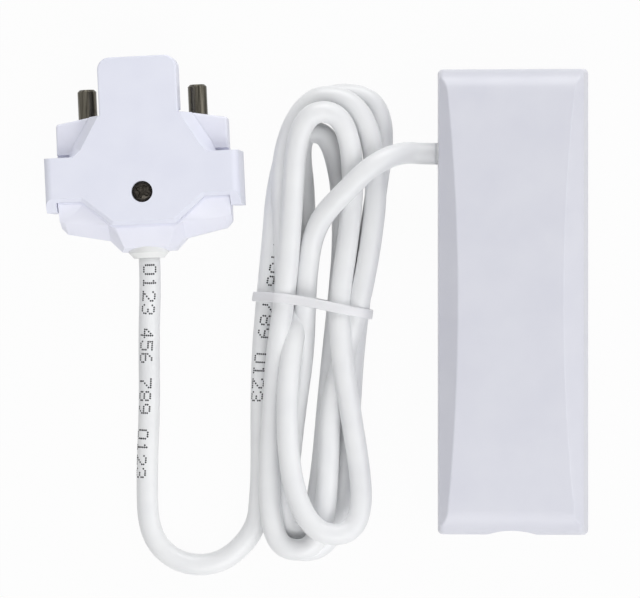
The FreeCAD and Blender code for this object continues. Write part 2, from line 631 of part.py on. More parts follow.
def makeBoard():
    body = newBody("circuit_board")
    half = "boardWidth / 2"
    pad(body, "XY_Plane", "boardHeight", "boardThickness",
        polygon(("-" + half, "boardStart"), (half, "boardStart"), (half, "boardEnd"),
                ("neckEdge", "boardEnd"), ("neckEdge", "boardShoulder"),
                ("-" + half, "boardShoulder")))
    pocket(body, "XY_Plane", "boardHeight + boardThickness + 1", "boardThickness + 2",
           *[circle(across, along, "smallScrew + 2 * boardHoleGap")
             for across, along in boardPosts()])
    return body


def boxOnBoard(label, across, along, width, length, rise):
    body = newBody(label)
    pad(body, "XY_Plane", "boardTop", rise, rectangle(across, along, width, length))
    return body


def makeModule():
    body = boxOnBoard("radio_module", "moduleMiddle",
                      "boardShoulder - 2.4 * partGap - moduleLength / 2", "moduleWidth",
                      "moduleLength", "moduleRise")
    roundEdges(body, "0.05 * moduleWidth", upright)
    return body


def makeChip():
    body = boxOnBoard("controller_chip", "chipMiddle",
                      "boardShoulder - tamperWidth - 2.3 * partGap - chipWidth / 2",
                      "chipWidth", "chipWidth", "chipRise")
    bevelEdges(body, "0.2 * chipRise", lambda edge: edge.BoundBox.ZMin > size("boardTop") + 0.5)
    return body


def makeCrystal():
    body = boxOnBoard("crystal_can", "crystalMiddle",
                      "boardStart + 2.75 * partGap + crystalWidth / 2", "crystalLength",
                      "crystalWidth", "crystalRise")
    roundEdges(body, "crystalWidth / 2 - 0.05", upright)
    return body


def makeTerminal():
    across = "terminalMiddle"
    body = boxOnBoard("terminal_block", across, "cableAlong", "terminalDepth", "terminalWidth",
                      "terminalRise")
    poles = ["cableAlong - terminalPitch / 2", "cableAlong + terminalPitch / 2"]
    pocket(body, "YZ_Plane", "neckEdge + terminalSetback + 3", "4",
           *[circle(pole, "boardTop + terminalEntry", "coreWidth + 1") for pole in poles])
    pocket(body, "XY_Plane", "boardTop + terminalRise", "2.4",
           *[circle(across, pole, "terminalScrew + 0.2") for pole in poles])
    return body


def makeTamper():
    across, along = tamperPlace()
    body = boxOnBoard("tamper_switch", across, along, "tamperWidth", "tamperWidth", "tamperRise")
    pocket(body, "XY_Plane", "boardTop + tamperRise", "plungerDepth + 2 * plungerTravel",
           circle(across, along, "plungerWidth + 2 * plungerGap"))
    plunger = newBody("tamper_plunger")
    pad(plunger, "XY_Plane", "boardTop + tamperRise - plungerDepth",
        "plungerDepth + plungerRise", circle(across, along, "plungerWidth"))
    bevelEdges(plunger, "0.3", lambda edge: edge.BoundBox.ZMin > size("boardTop") + 4)
    return body, plunger


def makeCapacitor():
    body = newBody("buffer_capacitor")
    pad(body, "XY_Plane", "boardTop", "capacitorRise", circle(
        "moduleMiddle + 2 * partGap",
        "boardShoulder - 1.6 * partGap + capacitorWidth / 2", "capacitorWidth"))
    roundEdges(body, "0.1 * capacitorWidth", lambda edge: edge.BoundBox.ZMin > size("boardTop") + 1)
    return body


# Screws

def screwShape(head, headRise, shank, reach, crossLength, crossWidth, crossDepth, dome=0.35):
    # pan head on a plain shank, with a cross recess; the seat of the head is at z = 0
    shape = Part.makeCylinder(head / 2, headRise)
    shape = shape.makeFillet(headRise * dome, [edge for edge in shape.Edges
                                               if edge.BoundBox.ZMin > headRise - 0.01])
    shape = shape.fuse(Part.makeCylinder(shank / 2, reach, FreeCAD.Vector(0, 0, -reach)))
    for turn in (0, 90):
        arm = Part.makeBox(crossLength, crossWidth, crossDepth)
        arm.translate(FreeCAD.Vector(-crossLength / 2, -crossWidth / 2, headRise - crossDepth))
        arm.rotate(FreeCAD.Vector(0, 0, 0), FreeCAD.Vector(0, 0, 1), turn)
        shape = shape.cut(arm)
    return shape.removeSplitter()


def smallScrew(across, along, seat, held):
    shape = screwShape(size("smallScrewHead"), size("smallScrewRise"), size("smallScrew"),
                       size("smallScrewReach") - 0.4 + held, size("smallScrewHead") * 0.6,
                       size("smallScrewHead") * 0.16, size("smallScrewRise") * 0.5)
    shape.translate(FreeCAD.Vector(across, along, seat))
    return shape


def solidGroup(label, shapes):
    made = doc.addObject("Part::Feature", label)
    made.Label = label
    made.Shape = shapes[0] if len(shapes) == 1 else Part.makeCompound(shapes)
    return made


# Tubes along straight runs joined by tangent arcs

def roundedPath(points, radii=None):
    corners = [FreeCAD.Vector(*point) for point in points]
    edges = []
    start = corners[0]
    used = []
    for index in range(1, len(corners) - 1):
        before = corners[index] - corners[index - 1]
        after = corners[index + 1] - corners[index]
        turn = before.getAngle(after)
        shorter = min(before.Length, after.Length)
        radius = 0.45 * shorter / math.tan(turn / 2)
        if radii:
            radius = min(radius, radii[index - 1])
        setback = radius * math.tan(turn / 2)
        inward = corners[index] - before.normalize() * setback
        outward = corners[index] + after.normalize() * setback
        toCentre = (after - before).normalize() * radius / math.cos(turn / 2)
        middle = corners[index] + toCentre - (after - before).normalize() * radius
        edges.append(Part.LineSegment(start, inward).toShape())
        edges.append(Part.Arc(inward, middle, outward).toShape())
        used.append(radius)
        start = outward
    edges.append(Part.LineSegment(start, corners[-1]).toShape())
    return Part.Wire(edges), used


def tube(label, points, diameter, radii=None):
    path, used = roundedPath(points, radii)
    first = FreeCAD.Vector(*points[0])
    heading = (FreeCAD.Vector(*points[1]) - first).normalize()
    profile = Part.Wire(Part.Circle(first, heading, diameter / 2).toShape())
    shape = path.makePipeShell([profile], True, False)
    expected = math.pi * diameter ** 2 / 4 * path.Length
    print("%s: length %.1f, volume %.1f of %.1f, radii %s" % (
        label, path.Length, shape.Volume, expected, " ".join("%.1f" % value for value in used)))
    made = doc.addObject("Part::Feature", label)
    made.Label = label
    made.Shape = shape
    return made


# Cell, contacts and leads

def makeCell():
    body = turnedBody("battery_cell", "XY_Plane", [
        ("0", "-cellLength / 2"), ("cellWidth / 2 - 0.8", "-cellLength / 2"),
        ("cellWidth / 2", "-cellLength / 2 + 0.8"),
        ("cellWidth / 2", "cellLength / 2 - cellButtonRise - 0.8"),
        ("cellWidth / 2 - 0.8", "cellLength / 2 - cellButtonRise"),
        ("cellButton / 2", "cellLength / 2 - cellButtonRise"),
        ("cellButton / 2", "cellLength / 2"), ("0", "cellLength / 2")])
    place(body, 0, size("cellMiddle"),
          size("floorThickness") + size("cellGap") + size("cellWidth") / 2)
    return body


def makeContacts():
    back = cellEnd(-1) + " - contactWallGap"
    tip = cellEnd(-1) + " - 0.1"
    axis = "(floorThickness + cellGap + cellWidth / 2)"
    top = "(contactWallHeight + 0.3)"
    foot = "(floorThickness + wallBossHeight + 0.2)"
    negative = newBody("contact_negative")
    pad(negative, "YZ_Plane", "-contactWidth / 2", "contactWidth",
        polygon((back, foot), (back, top), (back + " + contactSheet", top),
                (tip, axis), (tip + " - 0.8", axis + " - 2.6"),
                (tip + " - 0.8 - contactSheet", axis + " - 2.3"), (tip + " - 0.6", axis),
                (back + " + contactSheet", top + " - 1.2"),
                (back + " + contactSheet", foot)))
    positive = newBody("contact_positive")
    face = cellEnd(1) + " + contactWallGap"
    pad(positive, "XZ_Plane", "-(%s)" % face, "contactSheet",
        rectangle("0", "(%s + %s) / 2" % (foot, top), "contactWidth",
                  "%s - %s" % (top, foot)))
    pad(positive, "XZ_Plane", "-(%s) + contactSheet / 2" % face,
        "contactWallGap - contactSheet / 2 - 0.1",
        circle("0", "(floorThickness + cellGap + cellWidth / 2)", "contactDimple"))
    return negative, positive


def makeLeads():
    width = size("leadWidth")
    top = size("contactWallHeight") + 0.3
    cell = size("cellMiddle")
    reach = size("cellLength") / 2 + size("contactWallGap") - size("contactSheet") / 2
    board = size("boardStart") + 1.6
    blackEnd = -size("postEdge") + width
    over = top + 2.0
    red = tube("lead_red", [(3, cell + reach, top), (3, cell + reach, over), (3, board, over),
                            (3, board, size("boardTop"))], width, [1.5, 1.5])
    side = -(size("cellWidth") / 2 + 3.1)
    black = tube("lead_black", [
        (-4, cell - reach, top), (-4, cell - reach, over), (side, cell - reach, over),
        (side, cell - reach + 7, over - 3.5), (side, -4, over - 3.5), (blackEnd, board, over - 3.5),
        (blackEnd, board, size("boardTop"))], width, [1.5, 1.5, 1.5, 3, 2, 1.5])
    return red, black


def makeCores():
    # two cores leave the jacket's end and spread to the terminal block's entries
    start = -size("housingWidth") / 2 + size("jacketEnd")
    block = size("neckEdge") + size("terminalSetback")
    entry = size("boardTop") + size("terminalEntry")
    made = []
    for name, side in (("core_brown", -1), ("core_blue", 1)):
        near = size("cableAlong") + side * size("coreSpread") / 2
        far = size("cableAlong") + side * size("terminalPitch") / 2
        made.append(tube(name, [(start, near, size("cableHeight")),
                                (start + 1.0, near, size("cableHeight")),
                                (block - 0.6, far, entry), (block + 1.6, far, entry)],
                         size("coreWidth"), [1.2, 1.2]))
    return made


def makeAntenna():
    side = size("boardWidth") / 2 - 0.7
    run = size("boardTop") + size("antennaRise")
    start = size("boardShoulder") - size("partGap")
    end = size("housingLength") / 2 - size("antennaEndGap")
    return tube("antenna_wire", [(side, start, size("boardTop")), (side, start, run),
                                 (side, end, run), (side - size("antennaReach"), end, run)],
                size("antennaWire"), [1.5, 3.0])


# Cable entry

def makeStub():
    body = newBody("cable_end")
    pad(body, "YZ_Plane", "-housingWidth / 2", "jacketEnd",
        circle("cableAlong", "cableHeight", "cableWidth"))
    return body


def makeClamp():
    body = newBody("cable_clamp")
    start = "-housingWidth / 2 + bedStart + bedLength / 2 - clampLength / 2"
    outer = "cableWidth + 2 * cableFit + 2 * clampWall"
    pad(body, "YZ_Plane", start, "clampLength",
        rectangle("cableAlong", "bedHeight + clampWall / 2", "bedWidth", "clampWall"))
    pad(body, "YZ_Plane", start, "clampLength", circle("cableAlong", "cableHeight", outer))
    pocket(body, "YZ_Plane", start + " + clampLength + 1", "clampLength + 2",
           rectangle("cableAlong", "bedHeight - 5", "bedWidth", "10"))
    pocket(body, "YZ_Plane", start + " + clampLength + 1", "clampLength + 2",
           circle("cableAlong", "cableHeight", "cableWidth + 2 * cableFit"))
    pocket(body, "XY_Plane", "bedHeight + clampWall + 1", "clampWall + 2",
           *[circle(across, along, "smallScrew + 2 * boardHoleGap")
             for across, along in clampScrews()])
    return body


# Probe: body, closing plate, bracket, pins and gland, all drawn from the bracket's screw

def onProbe(across, along, height):
    # from the probe's own axes to the shared frame
    turn = FreeCAD.Rotation(FreeCAD.Vector(0, 0, 1), size("probeTurn"))
    spot = turn.multVec(FreeCAD.Vector(across, along, height))
    return spot + FreeCAD.Vector(size("probeAcross"), size("probeAlong"), 0)


def placeOnProbe(item):
    own = item.Placement
    place(item, size("probeAcross"), size("probeAlong"), 0, turn=size("probeTurn"))
    item.Placement = item.Placement.multiply(own)
    return item


def makeProbeBody():
    body = newBody("probe_body")
    inner = "tongueWidth / 2 + 0.45"

    def outline(half):
        return mirroredCorners([(inner, "bodyTop"), (half, "bodyUpper"), (half, "bodySideTop"),
                                (half, "-hipLow + 1.1 * hipCut"), (half + " - hipCut", "-hipLow"),
                                ("neckHalf", "-neckLow"), ("neckEndHalf", "-neckEnd")])

    shoulder = mirroredCorners([(inner, "bodyTop - 0.1"), ("bodyHalf - 0.1", "bodyUpper - 0.1"),
                                ("bodyHalf", "bodySideTop"),
                                ("bodyHalf", "-creaseSide + hipCut / 2"),
                                ("bodyHalf - hipCut", "-creaseSide"),
                                ("neckHalf", "-creaseNeck"),
                                ("neckEndHalf - 0.9", "-creaseEnd")])
    loft(body, "0", outline("bodyHalf - sideDraft"), "probeSide", outline("bodyHalf"))
    loft(body, "probeSide", outline("bodyHalf"), "probeShoulder", shoulder)
    high = size("probeShoulder")
    inside = size("tongueWidth") / 2 + 0.4
    beyond = size("bodyHalf") - 2
    roundEdges(body, "shoulderRound", lambda edge: (
        upright(edge) and edge.BoundBox.YMin > size("bodySideTop") + 2
        and min(abs(edge.BoundBox.XMin), abs(edge.BoundBox.XMax)) > beyond))
    roundEdges(body, "probeBevel", lambda edge: (
        edge.BoundBox.ZMin > high - 0.01 and edge.BoundBox.YMin > size("bodySideTop") - 0.1
        and min(abs(edge.BoundBox.XMin), abs(edge.BoundBox.XMax)) > inside))
    # the raised part that the bracket lies on, with its two sloping facets
    loft(body, "probeShoulder",
         mirroredCorners([("bodyHalf", "wingTop - bracketSeat"),
                          ("bodyHalf", "-creaseSide + hipCut / 2"),
                          ("bodyHalf - hipCut", "-creaseSide"),
                          ("neckHalf", "-creaseNeck"), ("neckEndHalf - 0.9", "-creaseEnd")]),
         "probeTop",
         mirroredCorners([("bodyHalf", "wingTop - bracketSeat"),
                          ("bodyHalf", "-plateStep - 0.5"),
                          ("plateStepHalf", "-plateStep - 0.7"),
                          ("plateLowHalf + 0.5", "-plateLow - 0.3"),
                          ("plateLowHalf - 0.6", "-plateLow - 0.7")]))
    for side in ("", "-"):
        pocket(body, "XY_Plane", "probeTop + 1", "probeTop + 1 - probeShoulder + wingGrooveDepth",
               rectangle(side + "(bodyHalf + cheekHalf + 3) / 2", "wingTop", "bodyHalf - cheekHalf",
                         "2 * wingGroove"))
    pocket(body, "XY_Plane", "probeHollow", "probeHollow + 1", probeHollowOutline("0"))
    blockMiddle = "(pinBlockEnd + bodyUpper - 0.2) / 2"
    pad(body, "XY_Plane", "probePlate", "probeHollow - probePlate + 1",
        *[rectangle(side + "pinSpacing / 2", blockMiddle, "pinBlock",
                    "bodyUpper - 0.2 - pinBlockEnd") for side in ("", "-")])
    pad(body, "XY_Plane", "probePlate", "probeHollow - probePlate + 1",
        *[circle(side + "(bodyHalf - 5.4)", "-bodySideLow - 0.9", "1.5 * probeWall")
          for side in ("", "-")])
    pad(body, "XY_Plane", "probePlate + 0.3", "probeHollow - probePlate + 1",
        circle("0", "0", "bossWidth"))
    pocket(body, "XY_Plane", "probeTop + 1", "probeTop - 3",
           circle("0", "0", "bracketScrewShank + 2 * pilotGap"))
    for side in ("", "-"):
        spot = (side + "pinSpacing / 2", "pinHeight")
        pocket(body, "XZ_Plane", "-pinSeat", "6", circle(*spot, "pinWidth + 2 * pinFit"))
        pocket(body, "XZ_Plane", "1 - pinBlockEnd", "4", circle(*spot, "pinStub + 2 * pinFit"))
    pocket(body, "XZ_Plane", "0.5 - glandSeat", "4",
           circle("0", "glandHeight", "glandNeck + 2 * pinFit"))
    pocket(body, "XZ_Plane", "-glandSeat + 4", "4",
           circle("0", "glandHeight", "glandWidth + 2 * pinFit"))
    return placeOnProbe(body)


def probeHollowOutline(gap):
    # the outline of the body's hollow, or of what fills it with a gap all round
    wall = "(probeWall + %s)" % gap
    return mirroredCorners([
        ("tongueWidth / 2 - 0.75 - " + gap, "bodyTop - " + wall),
        ("bodyHalf - 0.4 - " + wall, "bodyUpper + 0.2 - " + wall),
        ("bodyHalf - " + wall, "bodySideTop"), ("bodyHalf - " + wall, "-bodySideLow"),
        ("bodyHalf - hipCut - 0.4 - " + wall, "-hipLow + " + wall),
        ("neckHalf - 0.8 - " + gap, "-neckLow - 0.2 + " + wall),
        ("neckEndHalf - 1.7 - " + gap, "glandSeat + " + wall)])


def makeProbePlate():
    body = newBody("probe_base_plate")
    pad(body, "XY_Plane", "0", "probePlate", probeHollowOutline("probePlateGap"))
    return placeOnProbe(body)


def makeBracket():
    body = newBody("mounting_bracket")
    plateFoot = "(bracketTop - bracketPlate)"
    plateTop = "wingTop"

    def outline(slope):
        return mirroredCorners([
            ("cheekHalf", "cheekFoot"), ("cheekHalf + 1.8", plateTop),
            ("bodyHalf + 0.8", plateTop), ("bodyHalf + 0.8", slope + " - plateStep"),
            ("plateStepHalf - 0.4 * " + slope, slope + " - plateStep"),
            ("plateLowHalf - 0.4 * " + slope, slope + " - plateLow")])

    pad(body, "XY_Plane", plateFoot, "bracketPlate - plateBevel", outline("0"))
    loft(body, "bracketTop - plateBevel", outline("0"), "bracketTop", outline("plateBevel"))
    # the slanting cheeks beside the shoulders
    cheekTop = "bodyTop - 0.4"
    loft(body, "probeShoulder + bracketSeat",
         mirroredCorners([("tongueWidth / 2 + 2.85", cheekTop),
                          ("cheekHalf + 2.2", "cheekFoot + 1.2"),
                          ("cheekHalf + 3.4", plateTop)]),
         "bracketTop",
         mirroredCorners([("tongueWidth / 2 + 0.15", cheekTop), ("cheekHalf", "cheekFoot"),
                          ("cheekHalf + 1.8", plateTop)]))
    # wings round the sides of the body
    wingInner = "(bodyHalf + bracketSeat)"
    wingWall = "(bracketReach / 2 - %s)" % wingInner
    for side in ("", "-"):
        pad(body, "XY_Plane", "bracketFoot", "bracketTop - bracketFoot",
            rectangle(side + "(%s + %s / 2)" % (wingInner, wingWall), "(wingTop - wingLow) / 2",
                      wingWall, "wingTop + wingLow"))
    reach = size("bracketReach") / 2
    roundEdges(body, "wingRound", lambda edge: (
        edge.BoundBox.ZMin > size("bracketTop") - 0.01 and edge.BoundBox.YLength > 8
        and max(abs(edge.BoundBox.XMin), abs(edge.BoundBox.XMax)) > reach - 0.01))
    # the wings' lower ends slope down from the plate's lower edge
    for side in ("bracketReach / 2 + 1", "-" + wingInner):
        pocket(body, "YZ_Plane", side, wingWall + " + 1",
               polygon(("plateBevel - plateStep", "bracketTop"),
                       ("-wingLow - 1", "bracketTop + 1"),
                       ("-wingLow - 1", "bracketTop - 1.4 * wingBevel"),
                       ("-wingLow", "bracketTop - wingBevel")))
    # the tongue between the pins: a plate with a rim, open below
    tall = "(tongueTop - bodyTop - tongueGap)"
    middle = "(tongueTop + bodyTop + tongueGap) / 2"
    pad(body, "XY_Plane", "tongueRim", "bracketTop - tongueRim",
        rectangle("0", middle, "tongueWidth", tall))
    roundEdges(body, "tongueCorner", lambda edge: (
        upright(edge) and edge.BoundBox.YMin > size("tongueTop") - 0.01))
    pad(body, "XY_Plane", plateFoot, "bracketPlate",
        rectangle("0", "bodyTop - 0.1", "tongueWidth", "2"))
    pocket(body, "XY_Plane", plateFoot, "%s - tongueRim + 1" % plateFoot,
           rectangle("0", middle + " - tongueWall / 2", "tongueWidth - 2 * tongueWall",
                     tall + " - tongueWall + 0.01"))
    roundEdges(body, "bracketEdge", lambda edge: (
        edge.BoundBox.ZMin > size("bracketTop") - 0.01
        and edge.BoundBox.YMin > size("bodyTop") + 0.5))
    pocket(body, "XY_Plane", "bracketTop + 1", "1 + bracketScrewSink + bracketScrewRise",
           circle("0", "0", "bracketScrewHead + 2 * bracketScrewGap"))
    pocket(body, "XY_Plane", "bracketTop + 1", "bracketPlate + 2",
           circle("0", "0", "bracketScrewShank + 0.6"))
    return placeOnProbe(body)


def makePins():
    made = []
    for name, side in (("contact_pin_left", -1), ("contact_pin_right", 1)):
        body = turnedBody(name, "XY_Plane", [
            ("0", "pinStubEnd"), ("pinStub / 2", "pinStubEnd"), ("pinStub / 2", "pinSeat"),
            ("pinWidth / 2", "pinSeat"), ("pinWidth / 2", "pinTop - pinRound"),
            ("pinWidth / 2 - pinRound", "pinTop"), ("0", "pinTop")])
        spot = onProbe(side * size("pinSpacing") / 2, 0, size("pinHeight"))
        place(body, spot.x, spot.y, spot.z, turn=size("probeTurn"))
        made.append(body)
    return made


def makePinHardware():
    # hexagon nuts with a flat upwards, and the solder tags they hold
    nuts = []
    tags = []
    face = size("pinBlockEnd")
    for side in (-1, 1):
        spot = FreeCAD.Vector(side * size("pinSpacing") / 2, face - size("tagSheet"),
                              size("pinHeight"))
        back = FreeCAD.Vector(0, -1, 0)
        corner = size("pinNut") / math.sqrt(3)
        ring = []
        for step in range(7):
            turn = math.radians(60 * step)
            ring.append(spot + FreeCAD.Vector(corner * math.cos(turn), 0,
                                              corner * math.sin(turn)))
        nut = Part.Face(Part.makePolygon(ring)).extrude(back * size("pinNutRise"))
        hole = Part.makeCylinder(size("pinStub") / 2 + 0.02, 20, spot + FreeCAD.Vector(0, 5, 0),
                                 back)
        nuts.append(nut.cut(hole))
        tag = Part.makeCylinder(size("tagWidth") / 2, size("tagSheet"),
                                spot + FreeCAD.Vector(0, size("tagSheet"), 0), back)
        tail = Part.makeBox(size("tagLength"), size("tagSheet"), size("tagTail"))
        start = spot.x if side < 0 else spot.x - size("tagLength")
        tail.translate(FreeCAD.Vector(start, spot.y, spot.z - size("tagTail") / 2))
        tags.append(tag.fuse(tail).cut(hole).removeSplitter())
    return (placeOnProbe(solidGroup("pin_nuts", nuts)),
            placeOnProbe(solidGroup("solder_tags", tags)))


def makeGland():
    body = turnedBody("probe_gland", "XY_Plane", [
        ("0", "glandInner"), ("0", "glandSeat - glandLength"),
        ("glandNose / 2", "glandSeat - glandLength"),
        ("glandWidth / 2", "glandSeat - glandLength + glandEdge"),
        ("glandWidth / 2", "glandSeat"), ("glandNeck / 2", "glandSeat"),
        ("glandNeck / 2", "glandInner")])
    spot = onProbe(0, 0, size("glandHeight"))
    place(body, spot.x, spot.y, spot.z, turn=size("probeTurn"))
    return body


def makeProbeCores():
    made = []
    end = size("pinBlockEnd") - size("tagSheet")
    for name, side in (("probe_core_brown", -1), ("probe_core_blue", 1)):
        tagSpot = size("pinSpacing") / 2 - size("tagLength") + 0.9
        inner = size("glandInner")
        near = size("coreSpread") * 0.55
        middle = (size("bossWidth") / 2 + tagSpot) / 2
        route = [(near, inner, size("glandHeight")),
                 (near, inner * 0.81, size("glandHeight") * 0.97),
                 (middle, inner * 0.38, size("pinHeight") * 0.89),
                 (tagSpot, end * 0.23, size("pinHeight") * 0.93), (tagSpot, end, size("pinHeight"))]
        made.append(tube(name, [tuple(onProbe(side * across, along, height))
                                for across, along, height in route], size("coreWidth")))
    return made


def makeBracketScrew():
    seat = size("bracketTop") - size("bracketScrewSink") - size("bracketScrewRise")
    shape = screwShape(size("bracketScrewHead"), size("bracketScrewRise"),
                       size("bracketScrewShank"), size("bracketScrewLength"),
                       size("crossLength"), size("crossWidth"), size("crossDepth"), 0.7)
    shape.translate(FreeCAD.Vector(0, 0, seat))
    return placeOnProbe(solidGroup("bracket_screw", [shape]))


# The lead: a short run out of the housing, the tied hank, and the run to the probe

hankOutline = [(-42.2, 51.9), (-34.0, 50.0), (-28.9, 44.5), (-28.2, 37.0), (-29.9, 21.0),
               (-32.5, 5.0), (-34.9, -13.0), (-36.0, -24.0), (-34.6, -34.5), (-33.1, -45.0),
               (-34.3, -52.0), (-39.5, -56.9), (-49.5, -61.6), (-58.5, -57.5), (-61.9, -47.5),
               (-62.3, -32.0), (-61.9, -10.0), (-60.5, 6.0), (-59.0, 22.0), (-56.2, 37.0),
               (-50.5, 47.8)]
leadHeight = size("cableWidth") / 2 + 0.05
glandTip = size("glandSeat") - size("glandLength")
leadRoute = [tuple(onProbe(0, glandTip, size("glandHeight"))),
             tuple(onProbe(0, glandTip - 5.7, size("glandHeight"))),
             (-86.7, -8.0, leadHeight), (-86.5, -24.0, leadHeight), (-87.2, -40.0, leadHeight),
             (-86.9, -55.6, leadHeight), (-79.6, -62.6, leadHeight), (-69.2, -62.6, leadHeight),
             (-60.9, -54.4, leadHeight), (-60.0, -45.0, leadHeight)]
exitRoute = [(-size("housingWidth") / 2, size("cableAlong"), size("cableHeight")),
             (-21.5, size("cableAlong"), size("cableHeight")),
             (-25.4, size("cableAlong") + 0.3, size("cableHeight")),
             (-29.4, size("cableAlong") + 0.1, size("cableHeight"))]


def makeTieShape():
    reach = size("tieReach")
    sheetThickness = size("tieSheet")
    top = size("hankHeight") + 0.7
    outer = Part.makeBox(reach, size("tieWidth"), top)
    outer = outer.makeFillet(1.2, [edge for edge in outer.Edges
                                   if edge.BoundBox.YLength > 2 and edge.BoundBox.ZMin > 1])
    inner = Part.makeBox(reach - 2 * sheetThickness, 10, top - 2 * sheetThickness)
    inner.translate(FreeCAD.Vector(sheetThickness, -4, sheetThickness))
    ring = outer.cut(inner)
    ring.translate(FreeCAD.Vector(-reach / 2, -size("tieWidth") / 2, 0))
    ring.rotate(FreeCAD.Vector(0, 0, 0), FreeCAD.Vector(0, 0, 1), size("tieAngle"))
    ring.translate(FreeCAD.Vector(size("tieAcross"), size("tieAlong"), 0))
    return ring


def makeHank():
    curve = Part.BSplineCurve()
    curve.interpolate(Points=[FreeCAD.Vector(x, y, 0) for x, y in hankOutline],
                      PeriodicFlag=True)
    block = Part.Face(Part.Wire(curve.toShape())).extrude(FreeCAD.Vector(0, 0,
                                                                         size("hankHeight")))
    rims = [edge for edge in block.Edges if edge.BoundBox.ZLength < 0.01]
    block = block.makeFillet(size("hankRound"), rims)
    tie = makeTieShape()
    return solidGroup("cord_hank", [block.cut(tie)]), solidGroup("hank_tie", [tie])


def makeFasteners():
    low = size("boardStart") + size("postInset")
    spots = [(-size("postSpot"), low), (size("postSpot"), low),
             (-size("postSpot"), size("boardShoulder") - size("postInset")),
             (size("postSpot"), size("boardEnd") - size("postInset"))]
    board = [smallScrew(x, y, size("boardTop"), size("boardThickness")) for x, y in spots]
    clampAcross = -size("housingWidth") / 2 + size("bedStart") + size("bedLength") / 2
    clampSeat = size("bedHeight") + size("clampWall")
    clamp = [smallScrew(clampAcross, size("cableAlong") + side * size("clampScrewSpacing") / 2,
                        clampSeat, size("clampWall")) for side in (-1, 1)]
    poleAcross = size("terminalMiddle")
    poles = []
    for side in (-1, 1):
        spot = FreeCAD.Vector(poleAcross, size("cableAlong") + side * size("terminalPitch") / 2,
                              size("boardTop") + size("terminalRise") - 2.4)
        screw = Part.makeCylinder(size("terminalScrew") / 2, 1.8, spot)
        slot = Part.makeBox(size("terminalScrew") + 1, 0.6, 0.8)
        slot.translate(spot + FreeCAD.Vector(-size("terminalScrew") / 2 - 0.5, -0.3, 1.2))
        poles.append(screw.cut(slot))
    return (solidGroup("board_screws", board), solidGroup("clamp_screws", clamp),
            solidGroup("terminal_screws", poles))


nodes = [makeBase(), makeCover(), makeBoard(), makeModule(), makeChip(), makeCrystal(),
         makeTerminal(), *makeTamper(), makeCapacitor(), makeCell(), *makeContacts(),
         *makeLeads(), *makeCores(), makeAntenna(), makeStub(), makeClamp(), *makeFasteners(),
         makeProbeBody(), makeProbePlate(), makeBracket(), *makePins(), *makePinHardware(),
         makeGland(), *makeProbeCores(), makeBracketScrew(), *makeHank(),
         tube("cord_to_housing", exitRoute, size("cableWidth")),
         tube("cord_to_probe", leadRoute, size("cableWidth"))]

doc.recompute()
failed = [item.Label for item in doc.Objects if "Invalid" in item.State or "Error" in item.State]
if failed:
    raise RuntimeError("failed: " + ", ".join(failed))
os.makedirs("parts", exist_ok=True)
for item in nodes:
    if item.Shape.isNull() or not item.Shape.isValid():
        raise RuntimeError("bad shape: " + item.Label)
    item.Shape.exportStep("parts/%s.step" % item.Label)
    box = item.Shape.BoundBox
    print("%-18s %9.1f mm3  x %.1f %.1f  y %.1f %.1f  z %.1f %.1f" % (
        item.Label, item.Shape.Volume, box.XMin, box.XMax, box.YMin, box.YMax, box.ZMin, box.ZMax))
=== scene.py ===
import json
import math

import bmesh
import bpy
import numpy as np
from mathutils import Matrix, Vector


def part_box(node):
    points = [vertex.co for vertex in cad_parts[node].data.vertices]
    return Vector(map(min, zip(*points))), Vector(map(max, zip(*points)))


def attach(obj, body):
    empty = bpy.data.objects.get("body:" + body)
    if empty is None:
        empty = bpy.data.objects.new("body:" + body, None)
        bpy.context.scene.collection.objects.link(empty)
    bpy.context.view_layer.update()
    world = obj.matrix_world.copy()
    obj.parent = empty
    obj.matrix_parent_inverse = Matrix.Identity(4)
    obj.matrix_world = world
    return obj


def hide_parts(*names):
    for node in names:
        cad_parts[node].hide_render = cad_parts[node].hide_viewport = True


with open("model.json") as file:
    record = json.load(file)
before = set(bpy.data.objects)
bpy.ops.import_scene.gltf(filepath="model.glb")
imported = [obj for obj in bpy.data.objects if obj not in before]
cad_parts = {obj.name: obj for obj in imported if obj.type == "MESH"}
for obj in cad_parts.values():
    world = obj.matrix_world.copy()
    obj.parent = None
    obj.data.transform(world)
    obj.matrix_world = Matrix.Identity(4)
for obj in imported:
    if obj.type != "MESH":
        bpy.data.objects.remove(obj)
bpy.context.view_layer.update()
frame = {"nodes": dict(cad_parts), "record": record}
scene = bpy.context.scene
scene.view_settings.view_transform = "Standard"
print("frame loaded with", len(frame["nodes"]), "pieces")

# the camera stands 0.9 m up, right of the object's middle, and looks down at it; in metres
cameraLook = {"place": (0.0205, 0.0007, 0.9), "target": (-0.0460, 0.00067, 0.0),
              "lens": 213.0, "sensor": 36.0, "nearest": 0.01, "farthest": 20.0}


def makeCamera(look):
    data = bpy.data.cameras.new("camera")
    data.lens = look["lens"]
    data.sensor_width = look["sensor"]
    data.clip_start = look["nearest"]
    data.clip_end = look["farthest"]
    camera = bpy.data.objects.new("camera", data)
    scene.collection.objects.link(camera)
    camera.location = look["place"]
    # the picture's upper side is +Y
    aim = (Vector(look["target"]) - Vector(look["place"])).normalized()
    right = aim.cross((0, 1, 0)).normalized()
    turned = Matrix((right, right.cross(aim), -aim)).transposed()
    camera.rotation_mode = "QUATERNION"
    camera.rotation_quaternion = turned.to_quaternion()
    scene.camera = camera


makeCamera(cameraLook)
print("camera set")


def colour(code):
    # hex to linear light: above 0.04045 the curve is ((c + 0.055) / 1.055) to the power 2.4
    parts = [int(code[i:i + 2], 16) / 255 for i in (0, 2, 4)]
    linear = [c / 12.92 if c <= 0.04045 else ((c + 0.055) / 1.055) ** 2.4 for c in parts]
    return (*linear, 1.0)


